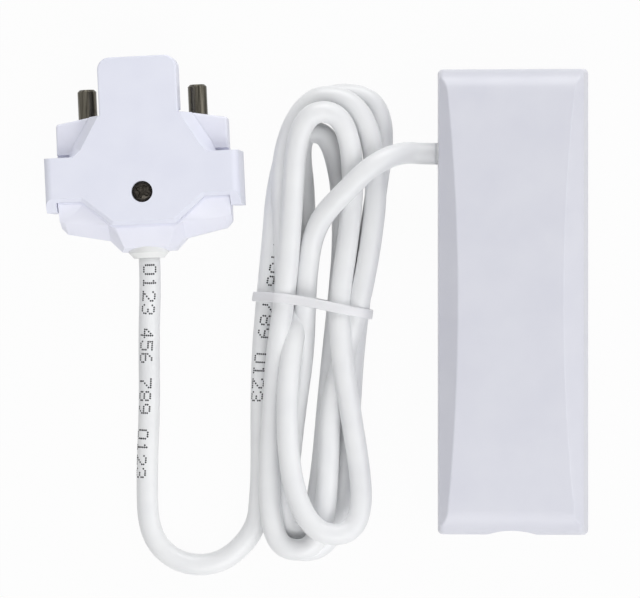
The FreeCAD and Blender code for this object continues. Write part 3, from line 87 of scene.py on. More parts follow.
def addNode(tree, kind, settings=None, links=None):
    # settings and links go on inputs, by name or number; a setting that has no such input goes
    # on the node itself
    node = tree.nodes.new(kind)
    for key, value in (settings or {}).items():
        if isinstance(key, int) or key in node.inputs:
            node.inputs[key].default_value = value
        else:
            setattr(node, key, value)
    for key, source in (links or {}).items():
        tree.links.new(source, node.inputs[key])
    return node


def newMaterial(name):
    material = bpy.data.materials.new(name)
    material.use_nodes = True
    material.node_tree.nodes.clear()
    return material, material.node_tree


def perMillimetre(size):
    # texture scale for a pattern of about this size in mm
    return 1000 / size


def clouds(tree, size, detail=2.0, stretch=None):
    # a cloudy pattern of about this size in mm, on the piece's own coordinates
    place = addNode(tree, "ShaderNodeTexCoord").outputs["Object"]
    if stretch:
        place = addNode(tree, "ShaderNodeMapping", {"Scale": stretch},
                        {"Vector": place}).outputs["Vector"]
    return addNode(tree, "ShaderNodeTexNoise", {"Scale": perMillimetre(size), "Detail": detail},
                   {"Vector": place}).outputs["Fac"]


def between(low, high):
    # settings that spread a cloudy pattern, which mostly lies from 0.3 to 0.7, over low to high
    return {"From Min": 0.3, "From Max": 0.7, "To Min": low, "To Max": high}


def twoColours(first, second):
    # settings of a mix of two hex colours, which are its sockets 6 and 7
    return {"data_type": "RGBA", 6: colour(first), 7: colour(second)}


def finishMaterial(tree, settings, links):
    shader = addNode(tree, "ShaderNodeBsdfPrincipled", settings, links)
    addNode(tree, "ShaderNodeOutputMaterial", None, {"Surface": shader.outputs[0]})


def toneAndSheen(tree, colours, tonePattern, roughness, stray, sheenPattern):
    # colour and roughness that stray with two cloudy patterns
    share = addNode(tree, "ShaderNodeMapRange", between(0.0, 1.0), {"Value": tonePattern})
    tone = addNode(tree, "ShaderNodeMix", twoColours(*colours), {0: share.outputs["Result"]})
    sheen = addNode(tree, "ShaderNodeMapRange", between(roughness + stray[0], roughness + stray[1]),
                    {"Value": sheenPattern})
    return {"Base Color": tone.outputs[2], "Roughness": sheen.outputs["Result"]}


# plastic has broad faint patches of tone and sheen, sizes in mm, over a fine spark-eroded grain
plasticLook = {"tonePatch": 9.0, "sheenPatch": 2.5, "stray": (-0.04, 0.05), "bump": 0.35,
               "grainDetail": 3.0}


def plastic(name, first, second, roughness, grain, depth, ior):
    look = plasticLook
    material, tree = newMaterial(name)
    surface = toneAndSheen(tree, (first, second), clouds(tree, look["tonePatch"]), roughness,
                           look["stray"], clouds(tree, look["sheenPatch"]))
    bump = addNode(tree, "ShaderNodeBump", {"Strength": look["bump"], "Distance": depth / 1000},
                   {"Height": clouds(tree, grain, look["grainDetail"])})
    finishMaterial(tree, {"IOR": ior}, {**surface, "Normal": bump.outputs[0]})
    return material


# bare or plated metal has its tone and sheen broken by a fine pattern of tool scratches, sizes in mm;
# stretched along a pin, the same pattern paints highlight streaks
metalLook = {"marksAndStreaks": 0.5, "detail": 4.0, "stray": (-0.07, 0.09), "bump": 0.3, "depth": 0.01}


def metal(name, first, second, roughness, stretch=(1, 1, 1)):
    look = metalLook
    material, tree = newMaterial(name)
    # this pattern sets tone and sheen; on the pins it is stretched into painted highlight streaks
    marksAndStreaks = clouds(tree, look["marksAndStreaks"], look["detail"], stretch)
    surface = toneAndSheen(tree, (first, second), marksAndStreaks, roughness, look["stray"], marksAndStreaks)
    bump = addNode(tree, "ShaderNodeBump", {"Strength": look["bump"],
                                            "Distance": look["depth"] / 1000}, {"Height": marksAndStreaks})
    finishMaterial(tree, {"Metallic": 1.0}, {**surface, "Normal": bump.outputs[0]})
    return material


# the board's lacquer is a shade lighter where copper tracks run under it: the cells of the
# pattern in mm, where a track's soft edge lies in a cell, and how far it stands up in mm
boardLook = {"cell": 3.2, "edge": (0.42, 0.46), "bump": 0.5, "relief": 0.03, "roughness": 0.3,
             "ior": 1.5}


def board(name, mask, track):
    look = boardLook
    material, tree = newMaterial(name)
    place = addNode(tree, "ShaderNodeTexCoord").outputs["Object"]
    cells = addNode(tree, "ShaderNodeTexVoronoi", {"distance": "MANHATTAN", "feature": "F1",
                                                   "Scale": perMillimetre(look["cell"])},
                    {"Vector": place})
    lines = addNode(tree, "ShaderNodeMapRange", {"From Min": look["edge"][0],
                                                 "From Max": look["edge"][1]},
                    {"Value": cells.outputs["Distance"]}).outputs["Result"]
    tone = addNode(tree, "ShaderNodeMix", twoColours(mask, track), {0: lines})
    bump = addNode(tree, "ShaderNodeBump", {"Strength": look["bump"],
                                            "Distance": look["relief"] / 1000}, {"Height": lines})
    finishMaterial(tree, {"IOR": look["ior"], "Roughness": look["roughness"]},
                   {"Base Color": tone.outputs[2], "Normal": bump.outputs[0]})
    return material


# the cell is a steel can in a plain film sleeve, and shows bare for so many mm at both ends
sleeveLook = {"end": 1.2, "soft": 0.1, "bump": 0.3, "relief": 0.02, "grain": 0.5,
              "grainDetail": 3.0, "sheenPatch": 2.0, "sheen": (0.28, 0.36)}


def sleeved(name, sleeve, bare, node):
    look = sleeveLook
    material, tree = newMaterial(name)
    low, high = [np.array(corner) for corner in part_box(node)]
    axis = int(np.argmax(high - low))
    middle = (low[axis] + high[axis]) / 2
    edge = (high[axis] - low[axis]) / 2 - look["end"] / 1000
    place = addNode(tree, "ShaderNodeTexCoord").outputs["Object"]
    along = addNode(tree, "ShaderNodeSeparateXYZ", None, {"Vector": place}).outputs[axis]
    off = addNode(tree, "ShaderNodeMath", {"operation": "SUBTRACT", 1: middle}, {0: along})
    far = addNode(tree, "ShaderNodeMath", {"operation": "ABSOLUTE"}, {0: off.outputs[0]})
    ends = addNode(tree, "ShaderNodeMapRange", {"From Min": edge,
                                                "From Max": edge + look["soft"] / 1000},
                   {"Value": far.outputs[0]}).outputs["Result"]
    tone = addNode(tree, "ShaderNodeMix", twoColours(sleeve, bare), {0: ends})
    bump = addNode(tree, "ShaderNodeBump", {"Strength": look["bump"],
                                            "Distance": look["relief"] / 1000},
                   {"Height": clouds(tree, look["grain"], look["grainDetail"])})
    sheen = addNode(tree, "ShaderNodeMapRange", between(*look["sheen"]),
                    {"Value": clouds(tree, look["sheenPatch"])})
    finishMaterial(tree, None, {"Base Color": tone.outputs[2], "Metallic": ends,
                                "Normal": bump.outputs[0], "Roughness": sheen.outputs["Result"]})
    return material


# one material for each slot of the record: two colours, roughness, grain and its depth in mm,
# and IOR; moulded ABS is a touch glossy and faintly mottled
materials = {
    "housing_white": plastic("moulded ABS, cool white", "D9DAE3", "D5D6E0", 0.38, 0.25, 0.01, 1.54),
    "probe_white": plastic("moulded ABS, bright white", "ECEDF8", "E8E9F5", 0.42, 0.25, 0.01, 1.54),
    "bracket_white": plastic("moulded ABS, white", "E7E9F5", "E3E5F2", 0.42, 0.25, 0.01, 1.54),
    # extruded PVC is smoother than the mouldings, with a soft wide sheen
    "jacket_white": plastic("extruded PVC, white", "EFF0F1", "E9EAEC", 0.35, 0.4, 0.01, 1.52),
    "tie_nylon": plastic("moulded nylon, natural", "EBEBEE", "E4E4E7", 0.35, 0.3, 0.01, 1.53),
    # nickel pins: their dark colours paint the dark reflections the pins show, and the pattern
    # stretched along each pin paints lighter highlight streaks between dark bands
    "pin_nickel": metal("nickel steel, painted dark reflection and highlight streaks", "35322B", "6E6A60", 0.25, (1, 0.05, 1)),
    # the screw's nickel is coloured very dark, which paints the dark reflections on its head
    "screw_nickel": metal("nickel screw, painted dark reflection", "25221F", "4E4A44", 0.3),
    "zinc": metal("zinc plated steel", "C3C6CA", "D4D6D8", 0.3),
    "tin": metal("tinned brass", "C6C5C1", "D8D7D3", 0.35),
    # silicone rubber scatters light and has almost no clear highlight
    "gland_rubber": plastic("silicone rubber, white", "F2F3F2", "ECEDEC", 0.6, 0.3, 0.02, 1.43),
    "board_green": board("solder mask over copper", "1B6B3A", "2C8450"),
    "can_tin": metal("tinned shield can", "C8C9CB", "DADBDC", 0.3),
    "chip_black": plastic("moulded epoxy, black", "202022", "262628", 0.5, 0.15, 0.01, 1.55),
    "crystal_steel": metal("drawn steel can", "BDBDBD", "CFCFCF", 0.25),
    "terminal_green": plastic("moulded polyamide, green", "3F9C5A", "3A9253", 0.45, 0.3, 0.01, 1.53),
    "switch_black": plastic("moulded polyamide, black", "242426", "2A2A2C", 0.5, 0.3, 0.01, 1.53),
    "plunger_white": plastic("moulded acetal, ivory", "E2E0D6", "DCD9CE", 0.45, 0.3, 0.01, 1.48),
    "capacitor_can": metal("drawn aluminium can", "C6C8CC", "D8D9DC", 0.3),
    "cell_can": sleeved("cell in a plain sleeve", "3F5E86", "B9BBBF", "battery_cell"),
    "contact_spring": metal("nickel plated spring steel", "CFCFCB", "DEDEDB", 0.25),
    "wire_red": plastic("PVC insulation, red", "B3261E", "A9231B", 0.4, 0.3, 0.01, 1.52),
    "wire_black": plastic("PVC insulation, black", "1E1E20", "242426", 0.4, 0.3, 0.01, 1.52),
    "wire_brown": plastic("PVC insulation, brown", "6B4226", "643D22", 0.4, 0.3, 0.01, 1.52),
    "wire_blue": plastic("PVC insulation, blue", "2A5DB0", "2757A6", 0.4, 0.3, 0.01, 1.52),
    "copper": metal("bare copper wire", "C77B57", "D68D69", 0.3),
}
for part in frame["record"]["subparts"]:
    for holder in frame["nodes"][part["node"]].material_slots:
        holder.material = materials[part["material_slot"]]
print("materials made:", len(materials))

# the lead, in mm: out of the housing, nine strands of the hank with a fold between each two,
# and round to the probe
leadLook = {
    "diameter": 5.1, "length": 1098, "around": 28, "spanPoints": 12, "floorGap": 0.05,
    "exit": [(-17.75, 34.9, 8.0), (-21.5, 34.9, 8.0), (-24.3, 35.2, 8.7), (-27.2, 34.7, 10.6),
             (-30.6, 33.2, 13.0), (-34.6, 30.4, 14.0), (-39.3, 25.6, 13.6), (-44.2, 20.9, 10.9),
             (-47.1, 15.4, 8.4), (-48.3, 9.0, 7.5)],
    "probe": [(-60.0, -45.0, 2.6), (-60.9, -54.4, 2.6), (-69.2, -62.6, 2.6), (-79.6, -62.6, 2.6),
              (-86.9, -55.6, 2.6), (-87.2, -40.0, 2.6), (-86.5, -24.0, 2.6), (-86.7, -8.0, 2.6),
              (-85.93, 4.7, 5.9), (-86.19, 10.39, 5.9)]}

# each strand of the hank has its place across and its height at these places along it; a fold
# is half an oval between two strands, with its top as given and the powers of its two halves,
# squarer the smaller the power is
hankLook = {
    "rows": (27, 14, 1, -12, -25, -38), "foldSteps": 8,
    "strands": [
        {"across": (-47.0, -47.8, -48.9, -49.5, -51.5, -52.9), "up": (8.0, 7.7, 7.5, 4.7, 3.3, 4.7)},
        {"across": (-40.7, -40.3, -41.3, -42.8, -44.1, -45.2), "up": (2.6, 2.6, 3.7, 2.6, 2.6, 2.6)},
        {"across": (-49.6, -49.2, -49.8, -52.2, -53.0, -52.4), "up": (2.6, 2.6, 3.4, 9.7, 12.3, 12.0)},
        {"across": (-37.5, -38.8, -40.8, -40.2, -38.2, -36.2), "up": (8.8, 7.9, 8.3, 11.2, 10.2, 8.6)},
        {"across": (-51.5, -52.4, -53.7, -55.7, -56.6, -57.5), "up": (10.9, 10.1, 9.2, 7.9, 7.7, 7.2)},
        {"across": (-31.9, -33.3, -35.7, -39.6, -43.1, -43.4), "up": (7.7, 7.7, 8.2, 6.8, 7.5, 7.7)},
        {"across": (-54.7, -53.9, -54.0, -54.9, -55.6, -56.3), "up": (6.9, 5.6, 4.3, 3.0, 3.2, 3.0)},
        {"across": (-32.3, -34.3, -36.2, -37.8, -38.6, -39.6), "up": (2.6, 2.6, 3.7, 2.6, 2.6, 2.6)},
        {"across": (-56.2, -57.2, -58.4, -59.6, -59.9, -59.8), "up": (2.6, 2.6, 3.7, 2.6, 2.6, 2.6)}],
    "folds": [{"top": (-51.0, -54.1, 3.1), "powers": (0.65, 0.65)},
              {"top": (-47.2, 40.4, 3.1), "powers": (0.7, 0.7)},
              {"top": (-41.5, -54.9, 12.2), "powers": (0.8, 0.8)},
              {"top": (-44.2, 44.9, 13.0), "powers": (0.8, 0.8)},
              {"top": (-51.0, -58.9, 7.7), "powers": (0.7, 0.7)},
              {"top": (-44.2, 48.8, 7.7), "powers": (0.75, 1.05)},
              {"top": (-49.4, -59.4, 2.6), "powers": (0.75, 0.75)},
              {"top": (-39.6, 49.6, 2.6), "powers": (0.75, 0.75)}]}


def foldPoints(start, end, fold, steps):
    # point = middle + (start - end) / 2 * cos t + (top - middle) * sin t, with both powered
    middle = (start + end) / 2
    turn = np.linspace(0, math.pi, steps + 1)[1:-1, None]
    power = np.where(turn < math.pi / 2, *fold["powers"])
    sideways = np.sign(np.cos(turn)) * np.abs(np.cos(turn)) ** power
    return (middle + (start - end) / 2 * sideways
            + (np.array(fold["top"]) - middle) * np.sin(turn) ** power)


def leadRoute(look, hank):
    # the route in mm: every other strand runs back up, and the first starts at its third row
    lines = [np.array([(across, row, up) for across, row, up
                       in zip(strand["across"], hank["rows"], strand["up"])])
             for strand in hank["strands"]]
    lines[0] = lines[0][2:]
    lines[1::2] = [line[::-1] for line in lines[1::2]]
    route = [np.array(look["exit"])]
    for count, line in enumerate(lines):
        route.append(line)
        if count < len(hank["folds"]):
            route.append(foldPoints(line[-1], lines[count + 1][0], hank["folds"][count],
                                    hank["foldSteps"]))
    route.append(np.array(look["probe"]))
    route = np.concatenate(route)
    route[:, 2] = np.maximum(route[:, 2], look["diameter"] / 2 + look["floorGap"])
    return route


def readLine(points, spanPoints):
    # the smooth line through the route, in metres, with so many points to each span
    curve = bpy.data.curves.new("lead_line", "CURVE")
    curve.dimensions = "3D"
    curve.resolution_u = spanPoints
    spline = curve.splines.new("NURBS")
    spline.points.add(len(points) - 1)
    for point, place in zip(spline.points, points):
        point.co = (place[0] / 1000, place[1] / 1000, place[2] / 1000, 1)
    spline.order_u = 3
    spline.use_endpoint_u = True
    holder = bpy.data.objects.new("lead_line", curve)
    scene.collection.objects.link(holder)
    mesh = bpy.data.meshes.new_from_object(holder)
    line = np.zeros(len(mesh.vertices) * 3)
    mesh.vertices.foreach_get("co", line)
    bpy.data.objects.remove(holder)
    bpy.data.meshes.remove(mesh)
    return line.reshape(-1, 3)


def followLine(line):
    # a side direction at each point, turned as little as possible from one to the next
    along = np.gradient(line, axis=0)
    along /= np.linalg.norm(along, axis=1)[:, None]
    side = np.zeros_like(line)
    side[0] = np.cross(along[0], (0, 0, 1))
    for i in range(1, len(line)):
        side[i] = side[i - 1] - along[i] * np.dot(side[i - 1], along[i])
        side[i] /= np.linalg.norm(side[i])
    side[0] /= np.linalg.norm(side[0])
    return side, np.cross(along, side)


def meshPiece(name, points, faces, material, body):
    # a smooth closed mesh from points in metres, with its faces turned outwards
    mesh = bpy.data.meshes.new(name)
    mesh.from_pydata(points.tolist(), [], faces)
    mesh.polygons.foreach_set("use_smooth", np.ones(len(mesh.polygons), dtype=bool))
    mesh.materials.append(material)
    surface = bmesh.new()
    surface.from_mesh(mesh)
    bmesh.ops.recalc_face_normals(surface, faces=surface.faces)
    surface.to_mesh(mesh)
    surface.free()
    piece = bpy.data.objects.new(name, mesh)
    scene.collection.objects.link(piece)
    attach(piece, body)
    return piece


def ringFaces(rows, count, endless=False):
    # quads between neighbouring rings, each ring closed on itself; an endless tube also has its
    # last ring joined to the first
    ring = np.arange(count)
    nextRing = (ring + 1) % count
    row = np.arange(rows if endless else rows - 1)[:, None]
    base = row * count
    after = (row + 1) % rows * count
    return np.stack([base + ring, base + nextRing, after + nextRing, after + ring],
                    axis=-1).reshape(-1, 4).tolist()


def endFaces(rows, count):
    # one face over each end of a tube of rings
    ring = np.arange(count)
    return [ring[::-1].tolist(), (ring + (rows - 1) * count).tolist()]


def makeLead(look, points):
    line = readLine(points, look["spanPoints"])
    side, up = followLine(line)
    turn = np.linspace(0, 2 * math.pi, look["around"], endpoint=False)
    radius = look["diameter"] / 2000
    # ring point = centre + radius (side cos t + up sin t)
    rings = line[:, None, :] + radius * (side[:, None, :] * np.cos(turn)[None, :, None]
                                         + up[:, None, :] * np.sin(turn)[None, :, None])
    faces = ringFaces(len(line), look["around"]) + endFaces(len(line), look["around"])
    lead = meshPiece("lead", rings.reshape(-1, 3), faces, materials["jacket_white"], "housing")
    return lead, line


lead, leadLine = makeLead(leadLook, leadRoute(leadLook, hankLook))
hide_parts("cord_to_housing", "cord_hank", "cord_to_probe")
print("lead made, length %.4f" % np.linalg.norm(np.diff(leadLine, axis=0), axis=1).sum())


# the tie round the hank: its sizes in mm, its section's rounding as a share, and the line across
# the hank that it follows, with how far it wanders off that line at these shares of its way
tieLook = {"width": 2.3, "thickness": 0.9, "flat": 0.35, "clear": 0.05, "left": (-64.0, 1.3),
           "right": (-30.2, -3.5), "reach": 4.0, "along": 160, "around": 40, "degree": 4,
           "wander": [(0, 0), (0.16, 0.6), (0.47, 1.0), (0.64, 0.4), (0.84, 0.2), (1, 0)]}


def hullOf(points):
    # corners of the tight loop round a set of flat points
    points = sorted(set(map(tuple, np.round(points, 7))))

    def half(items):
        kept = []
        for p in items:
            while len(kept) > 1 and ((kept[-1][0] - kept[-2][0]) * (p[1] - kept[-2][1])
                                     - (kept[-1][1] - kept[-2][1]) * (p[0] - kept[-2][0])) <= 0:
                kept.pop()
            kept.append(p)
        return kept[:-1]

    return np.array(half(points) + half(points[::-1]))


def makeTie(look, line):
    left = np.array(look["left"]) / 1000
    right = np.array(look["right"]) / 1000
    width = look["width"] / 1000
    thickness = look["thickness"] / 1000
    span = np.linalg.norm(right - left)
    across = (right - left) / span
    ahead = np.array([-across[1], across[0]])
    flat = line[:, :2] - left
    height = flat @ ahead
    # where the lead passes under the tie: how far across, and its middle's height
    crossing = np.nonzero(height[:-1] * height[1:] < 0)[0]
    spots = []
    for i in crossing:
        part = height[i] / (height[i] - height[i + 1])
        place = line[i] * (1 - part) + line[i + 1] * part
        spot = (place[:2] - left) @ across
        if -look["reach"] / 1000 < spot < span + look["reach"] / 1000:
            spots.append((spot, place[2]))
    print("strands under the tie:", [(round(s * 1000, 1), round(z * 1000, 1)) for s, z in spots])
    # the tie's middle line is the tight loop round a circle about each of them
    turn = np.linspace(0, 2 * math.pi, look["around"], endpoint=False)
    reach = leadLook["diameter"] / 2000 + thickness / 2 + look["clear"] / 1000
    rim = np.concatenate([np.stack([s + reach * np.cos(turn), z + reach * np.sin(turn)], axis=1)
                          for s, z in spots])
    rim[:, 1] = np.maximum(rim[:, 1], thickness / 2)
    loop = hullOf(rim)
    # even steps round the loop
    closed = np.vstack([loop, loop[:1]])
    far = np.concatenate([[0], np.cumsum(np.linalg.norm(np.diff(closed, axis=0), axis=1))])
    even = np.linspace(0, far[-1], look["along"] + 1)[:-1]
    ringPath = np.stack([np.interp(even, far, closed[:, 0]), np.interp(even, far, closed[:, 1])],
                        axis=1)
    go = np.roll(ringPath, -1, axis=0) - np.roll(ringPath, 1, axis=0)
    go /= np.linalg.norm(go, axis=1)[:, None]
    out = np.stack([go[:, 1], -go[:, 0]], axis=1)
    # an eight-sided section: flats between bevelled corners
    flatEdge = look["flat"]
    corner = np.array([(-0.5, -flatEdge), (-flatEdge, -0.5), (flatEdge, -0.5), (0.5, -flatEdge),
                       (0.5, flatEdge), (flatEdge, 0.5), (-flatEdge, 0.5), (-0.5, flatEdge)])
    wide = corner[:, 0] * width
    thick = corner[:, 1] * thickness
    flatSpot = ringPath[:, None, :] + out[:, None, :] * thick[None, :, None]
    # the wander is one smooth curve through the places given
    curve = np.polyfit(*np.array(look["wander"]).T, look["degree"])
    bent = np.polyval(curve, np.clip(flatSpot[:, :, :1] / span, 0, 1)) / 1000
    points = np.zeros((len(ringPath), len(corner), 3))
    points[:, :, :2] = left + flatSpot[:, :, :1] * across + (wide[None, :, None] + bent) * ahead
    points[:, :, 2] = flatSpot[:, :, 1]
    faces = ringFaces(len(ringPath), len(corner), endless=True)
    tie = meshPiece("tie_band", points.reshape(-1, 3), faces, materials["tie_nylon"], "housing")
    return tie


# the lead's print: plain numbers in ink dots on a grid of five by seven, sizes in mm along and
# round the lead; each row starts and ends so far from the probe, and drifts round the lead, whose
# direction is read this far "ahead"
inkLook = {"dot": 0.46, "column": 0.5, "line": 0.49, "pitch": 3.05, "depth": 0.02, "sides": 8,
           "ahead": 0.3, "middleLine": 3,
           "rows": [{"from": 1.6, "to": 56.0, "drift": (0.3, -1.9), "digits": "0123 456 789 0123"},
                    {"from": 166.0, "to": 124.0, "drift": (2.4, -1.4), "digits": "3456 789 0123"}]}
dotDigits = {
    "0": ".###. #...# #...# #...# #...# #...# .###.",
    "1": "..#.. .##.. ..#.. ..#.. ..#.. ..#.. .###.",
    "2": ".###. #...# ....# ...#. ..#.. .#... #####",
    "3": ".###. #...# ....# ..##. ....# #...# .###.",
    "4": "...#. ..##. .#.#. #..#. ##### ...#. ...#.",
    "5": "##### #.... ####. ....# ....# #...# .###.",
    "6": "..##. .#... #.... ####. #...# #...# .###.",
    "7": "##### ....# ...#. ..#.. .#... .#... .#...",
    "8": ".###. #...# #...# .###. #...# #...# .###.",
    "9": ".###. #...# #...# .#### ....# ...#. .##.."}


def dotPlaces(row, look):
    # (along, across) of each dot in mm; digits past the row's end are dropped
    way = 1 if row["to"] > row["from"] else -1
    spots = []
    for count, digit in enumerate(row["digits"]):
        far = count * look["pitch"]
        if digit == " " or far > abs(row["to"] - row["from"]):
            continue
        for lineCount, line in enumerate(dotDigits[digit].split()):
            spots += [(far + column * look["column"],
                       (look["middleLine"] - lineCount) * look["line"])
                      for column, mark in enumerate(line) if mark == "#"]
    spots = np.array(spots)
    share = spots[:, 0] / abs(row["to"] - row["from"])
    spots[:, 1] += row["drift"][0] + share * (row["drift"][1] - row["drift"][0])
    return row["from"] + way * spots[:, 0], spots[:, 1], way


def makeInk(look, line):
    back = line[::-1] * 1000
    far = np.concatenate([[0], np.cumsum(np.linalg.norm(np.diff(back, axis=0), axis=1))])
    radius = leadLook["diameter"] / 2
    turn = np.linspace(0, 2 * math.pi, look["sides"], endpoint=False)

    def onLine(along):
        # the lead's middle at these distances from the probe
        return np.stack([np.interp(along, far, back[:, axis]) for axis in range(3)], axis=-1)

    points = []
    for row in look["rows"]:
        along, across, way = dotPlaces(row, look)
        # every dot is a low prism: its rim at two heights, half in the jacket and half out
        along = along[:, None] + way * look["dot"] / 2 * np.cos(turn)
        across = across[:, None] + look["dot"] / 2 * np.sin(turn)
        centre = onLine(along)
        go = onLine(along + look["ahead"]) - onLine(along - look["ahead"])
        # both rows face the same way, whichever way the lead runs there
        go *= np.where(go[..., 1:2] > 0, -1, 1)
        go /= np.linalg.norm(go, axis=-1, keepdims=True)
        up = np.array([0, 0, 1]) - go * go[..., 2:3]
        up /= np.linalg.norm(up, axis=-1, keepdims=True)
        side = np.cross(up, go)
        # rim point = centre + (up cos a + side sin a) times the radius, less or more the depth
        angle = (across / radius)[..., None]
        out = up * np.cos(angle) + side * np.sin(angle)
        points.append(np.stack([centre + out * (radius - look["depth"]),
                                centre + out * (radius + look["depth"])], axis=1))
    points = np.concatenate(points)
    base = np.arange(len(points))[:, None, None] * 2 * look["sides"]
    walls = (np.array(ringFaces(2, look["sides"])) + base).reshape(-1, 4).tolist()
    ends = (np.array(endFaces(2, look["sides"])) + base).reshape(-1, look["sides"]).tolist()
    ink = plastic("printing ink, black", "2B2B2E", "3C3C40", 0.6, 0.1, 0.005, 1.46)
    piece = meshPiece("lead_numbers", points.reshape(-1, 3) / 1000, walls + ends, ink, "housing")
    piece.data.polygons.foreach_set("use_smooth", np.zeros(len(piece.data.polygons), dtype=bool))
    return piece


tie = makeTie(tieLook, leadLine)
numbers = makeInk(inkLook, leadLine)
print("print made, dots:", len(numbers.data.vertices) // (2 * inkLook["sides"]))
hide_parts("hank_tie")
print("tie made")


# the bracket's screw: a low dome with a cross recess over a threaded shank, sizes in mm; the
# recess is turned so many degrees and is so deep in its middle, and its walls slope over "soft";
# rings of points stand close over the recess and wider out to the head's rounded edge
screwLook = {"around": 128, "dome": 0.7, "rise": 1.5, "span": 3.0, "slot": 0.8, "deep": 1.1,
             "soft": 0.12, "turned": 62, "closeRings": (0.03, 1.75, 44), "wideFrom": 1.85,
             "wideRings": 8, "edge": 0.12, "edgeDrop": 0.08, "shank": 2.9, "pitch": 1.1,
             "thread": 0.3, "turnRings": 10, "startGap": 0.1, "endGap": 0.6, "taper": 0.5,
             "point": 0.2}


def recessDepth(x, y, look):
    # the deeper of two crossed slots, shallower towards their ends, in mm
    arms = []
    for along, across in ((x, y), (y, x)):
        wall = np.clip((look["slot"] / 2 - np.abs(across)) / look["soft"] + 0.5, 0, 1)
        end = np.clip((look["span"] / 2 - np.abs(along)) / (2 * look["soft"]) + 0.5, 0, 1)
        arms.append(wall * end * (1 - 0.5 * np.clip(np.abs(along) / (look["span"] / 2), 0, 1)))
    return look["deep"] * np.maximum(*arms)


def levelRings(radius, height, turn):
    # circles about the screw's axis, one to each radius and height given
    return np.stack(np.broadcast_arrays(radius * np.cos(turn), radius * np.sin(turn), height),
                    axis=-1)


def makeScrew(look):
    low, high = [np.array(corner) * 1000 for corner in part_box("bracket_screw")]
    middle = (low + high) / 2
    radius = (high[0] - low[0]) / 2
    turn = np.linspace(0, 2 * math.pi, look["around"], endpoint=False)
    # rings of the head: height = top - dome (r / R) squared - depth of the recess
    reach = np.concatenate([np.linspace(*look["closeRings"]),
                            np.linspace(look["wideFrom"], radius - look["edge"],
                                        look["wideRings"])])[:, None]
    arm = turn - math.radians(look["turned"])
    recess = recessDepth(reach * np.cos(arm), reach * np.sin(arm), look)
    head = levelRings(reach, high[2] - look["dome"] * (reach / radius) ** 2 - recess, turn)
    # the rim, and the shank's root under it
    seat = high[2] - look["rise"]
    root = look["shank"] / 2 - look["thread"]
    rim = levelRings(np.array([[radius], [radius], [root]]),
                     np.array([[high[2] - look["dome"] - look["edgeDrop"]], [seat], [seat]]), turn)
    # the thread: its crest follows a helix, one turn to each pitch
    height = np.arange(seat - look["startGap"], low[2] + look["endGap"],
                       -look["pitch"] / look["turnRings"])[:, None]
    wave = (0.5 + 0.5 * np.cos(2 * math.pi * height / look["pitch"] - turn)) ** 2
    thread = levelRings(root + look["thread"] * wave, height, turn)
    tip = levelRings(np.array([[root], [look["point"]]]),
                     np.array([[low[2] + look["taper"]], [low[2]]]), turn)
    rows = np.concatenate([head, rim, thread, tip])
    rows[:, :, :2] += middle[:2]
    faces = ringFaces(len(rows), look["around"]) + endFaces(len(rows), look["around"])
    return meshPiece("bracket_screw_head", rows.reshape(-1, 3) / 1000, faces,
                     materials["screw_nickel"], "housing")


screw = makeScrew(screwLook)
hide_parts("bracket_screw")
print("bracket screw made")


# a white tent: four wide soft lamps low round the object, strongest at the top and the bottom of
# the picture, under an even sky; "angle" is measured from the right side and "rise" from the
# floor, in degrees, and lengths are in metres
tentLook = {"lamps": {"right": {"angle": 342, "rise": 30, "power": 4.2},
                      "top": {"angle": 84, "rise": 16, "power": 10.8},
                      "left": {"angle": 208, "rise": 28, "power": 1.9},
                      "bottom": {"angle": 285, "rise": 44, "power": 7.1}},
            "distance": 1.2, "side": 1.0, "skyLevel": 0.34, "floorGlow": 0.96,
            "floorTone": "C8C8C8", "floorReach": 3.0, "floorDrop": 0.00001}


def makeLamp(name, look, tent):
    data = bpy.data.lights.new(name + "_lamp", "AREA")
    data.shape = "SQUARE"
    data.size = tent["side"]
    data.energy = look["power"]
    lamp = bpy.data.objects.new(name + "_lamp", data)
    scene.collection.objects.link(lamp)
    turn = math.radians(look["angle"])
    rise = math.radians(look["rise"])
    away = Vector((math.cos(turn) * math.cos(rise), math.sin(turn) * math.cos(rise), math.sin(rise)))
    lamp.location = Vector(cameraLook["target"]) + away * tent["distance"]
    lamp.rotation_mode = "QUATERNION"
    lamp.rotation_quaternion = (-away).to_track_quat("-Z", "Y")


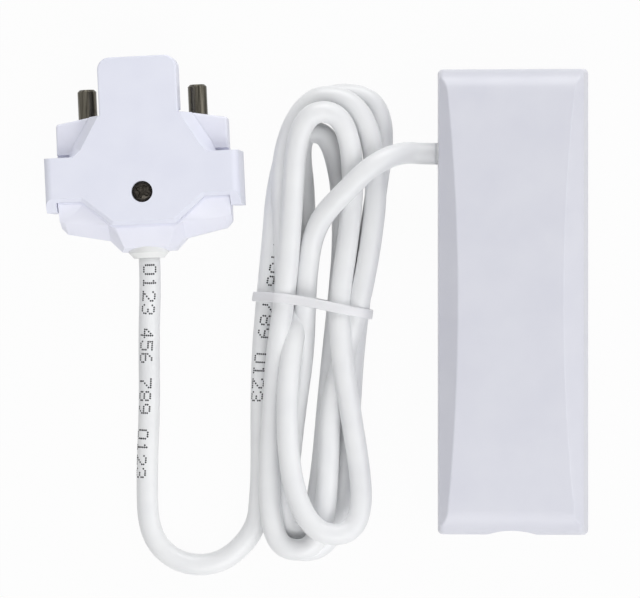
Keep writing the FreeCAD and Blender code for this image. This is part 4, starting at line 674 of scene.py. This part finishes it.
def seenDirectly(tree):
    # 1 for camera, glossy and transmission rays
    path = addNode(tree, "ShaderNodeLightPath").outputs
    first = addNode(tree, "ShaderNodeMath", {"operation": "MAXIMUM"},
                    {0: path["Is Camera Ray"], 1: path["Is Glossy Ray"]})
    second = addNode(tree, "ShaderNodeMath", {"operation": "MAXIMUM"},
                     {0: first.outputs[0], 1: path["Is Transmission Ray"]})
    return second.outputs[0]


def makeSky(look):
    world = bpy.data.worlds.new("studio")
    scene.world = world
    world.use_nodes = True
    tree = world.node_tree
    tree.nodes.clear()
    strength = addNode(tree, "ShaderNodeMapRange", {"To Min": look["skyLevel"], "To Max": 1.0},
                       {"Value": seenDirectly(tree)})
    sky = addNode(tree, "ShaderNodeBackground", {"Color": colour("FFFFFF")},
                  {"Strength": strength.outputs[0]})
    addNode(tree, "ShaderNodeOutputWorld", None, {"Surface": sky.outputs[0]})


def makeFloor(look):
    # white floor: mostly its own white for the eye, and the rest lit, so that it keeps a shadow
    material, tree = newMaterial("studio_floor")
    lit = addNode(tree, "ShaderNodeBsdfDiffuse", {"Color": colour(look["floorTone"])})
    glow = addNode(tree, "ShaderNodeEmission", {"Color": colour("FFFFFF"), "Strength": 1.0})
    share = addNode(tree, "ShaderNodeMath", {"operation": "MULTIPLY", 1: look["floorGlow"]},
                    {0: seenDirectly(tree)})
    both = addNode(tree, "ShaderNodeMixShader", None,
                   {0: share.outputs[0], 1: lit.outputs[0], 2: glow.outputs[0]})
    addNode(tree, "ShaderNodeOutputMaterial", None, {"Surface": both.outputs[0]})
    mesh = bpy.data.meshes.new("floor")
    reach = look["floorReach"]
    mesh.from_pydata([(-reach, -reach, 0), (reach, -reach, 0), (reach, reach, 0),
                      (-reach, reach, 0)], [], [(0, 1, 2, 3)])
    mesh.materials.append(material)
    floor = bpy.data.objects.new("floor", mesh)
    scene.collection.objects.link(floor)
    floor.location.z = -look["floorDrop"]


for lampName, lampLook in tentLook["lamps"].items():
    makeLamp(lampName, lampLook, tentLook)
makeSky(tentLook)
makeFloor(tentLook)
print("lamps and floor set")
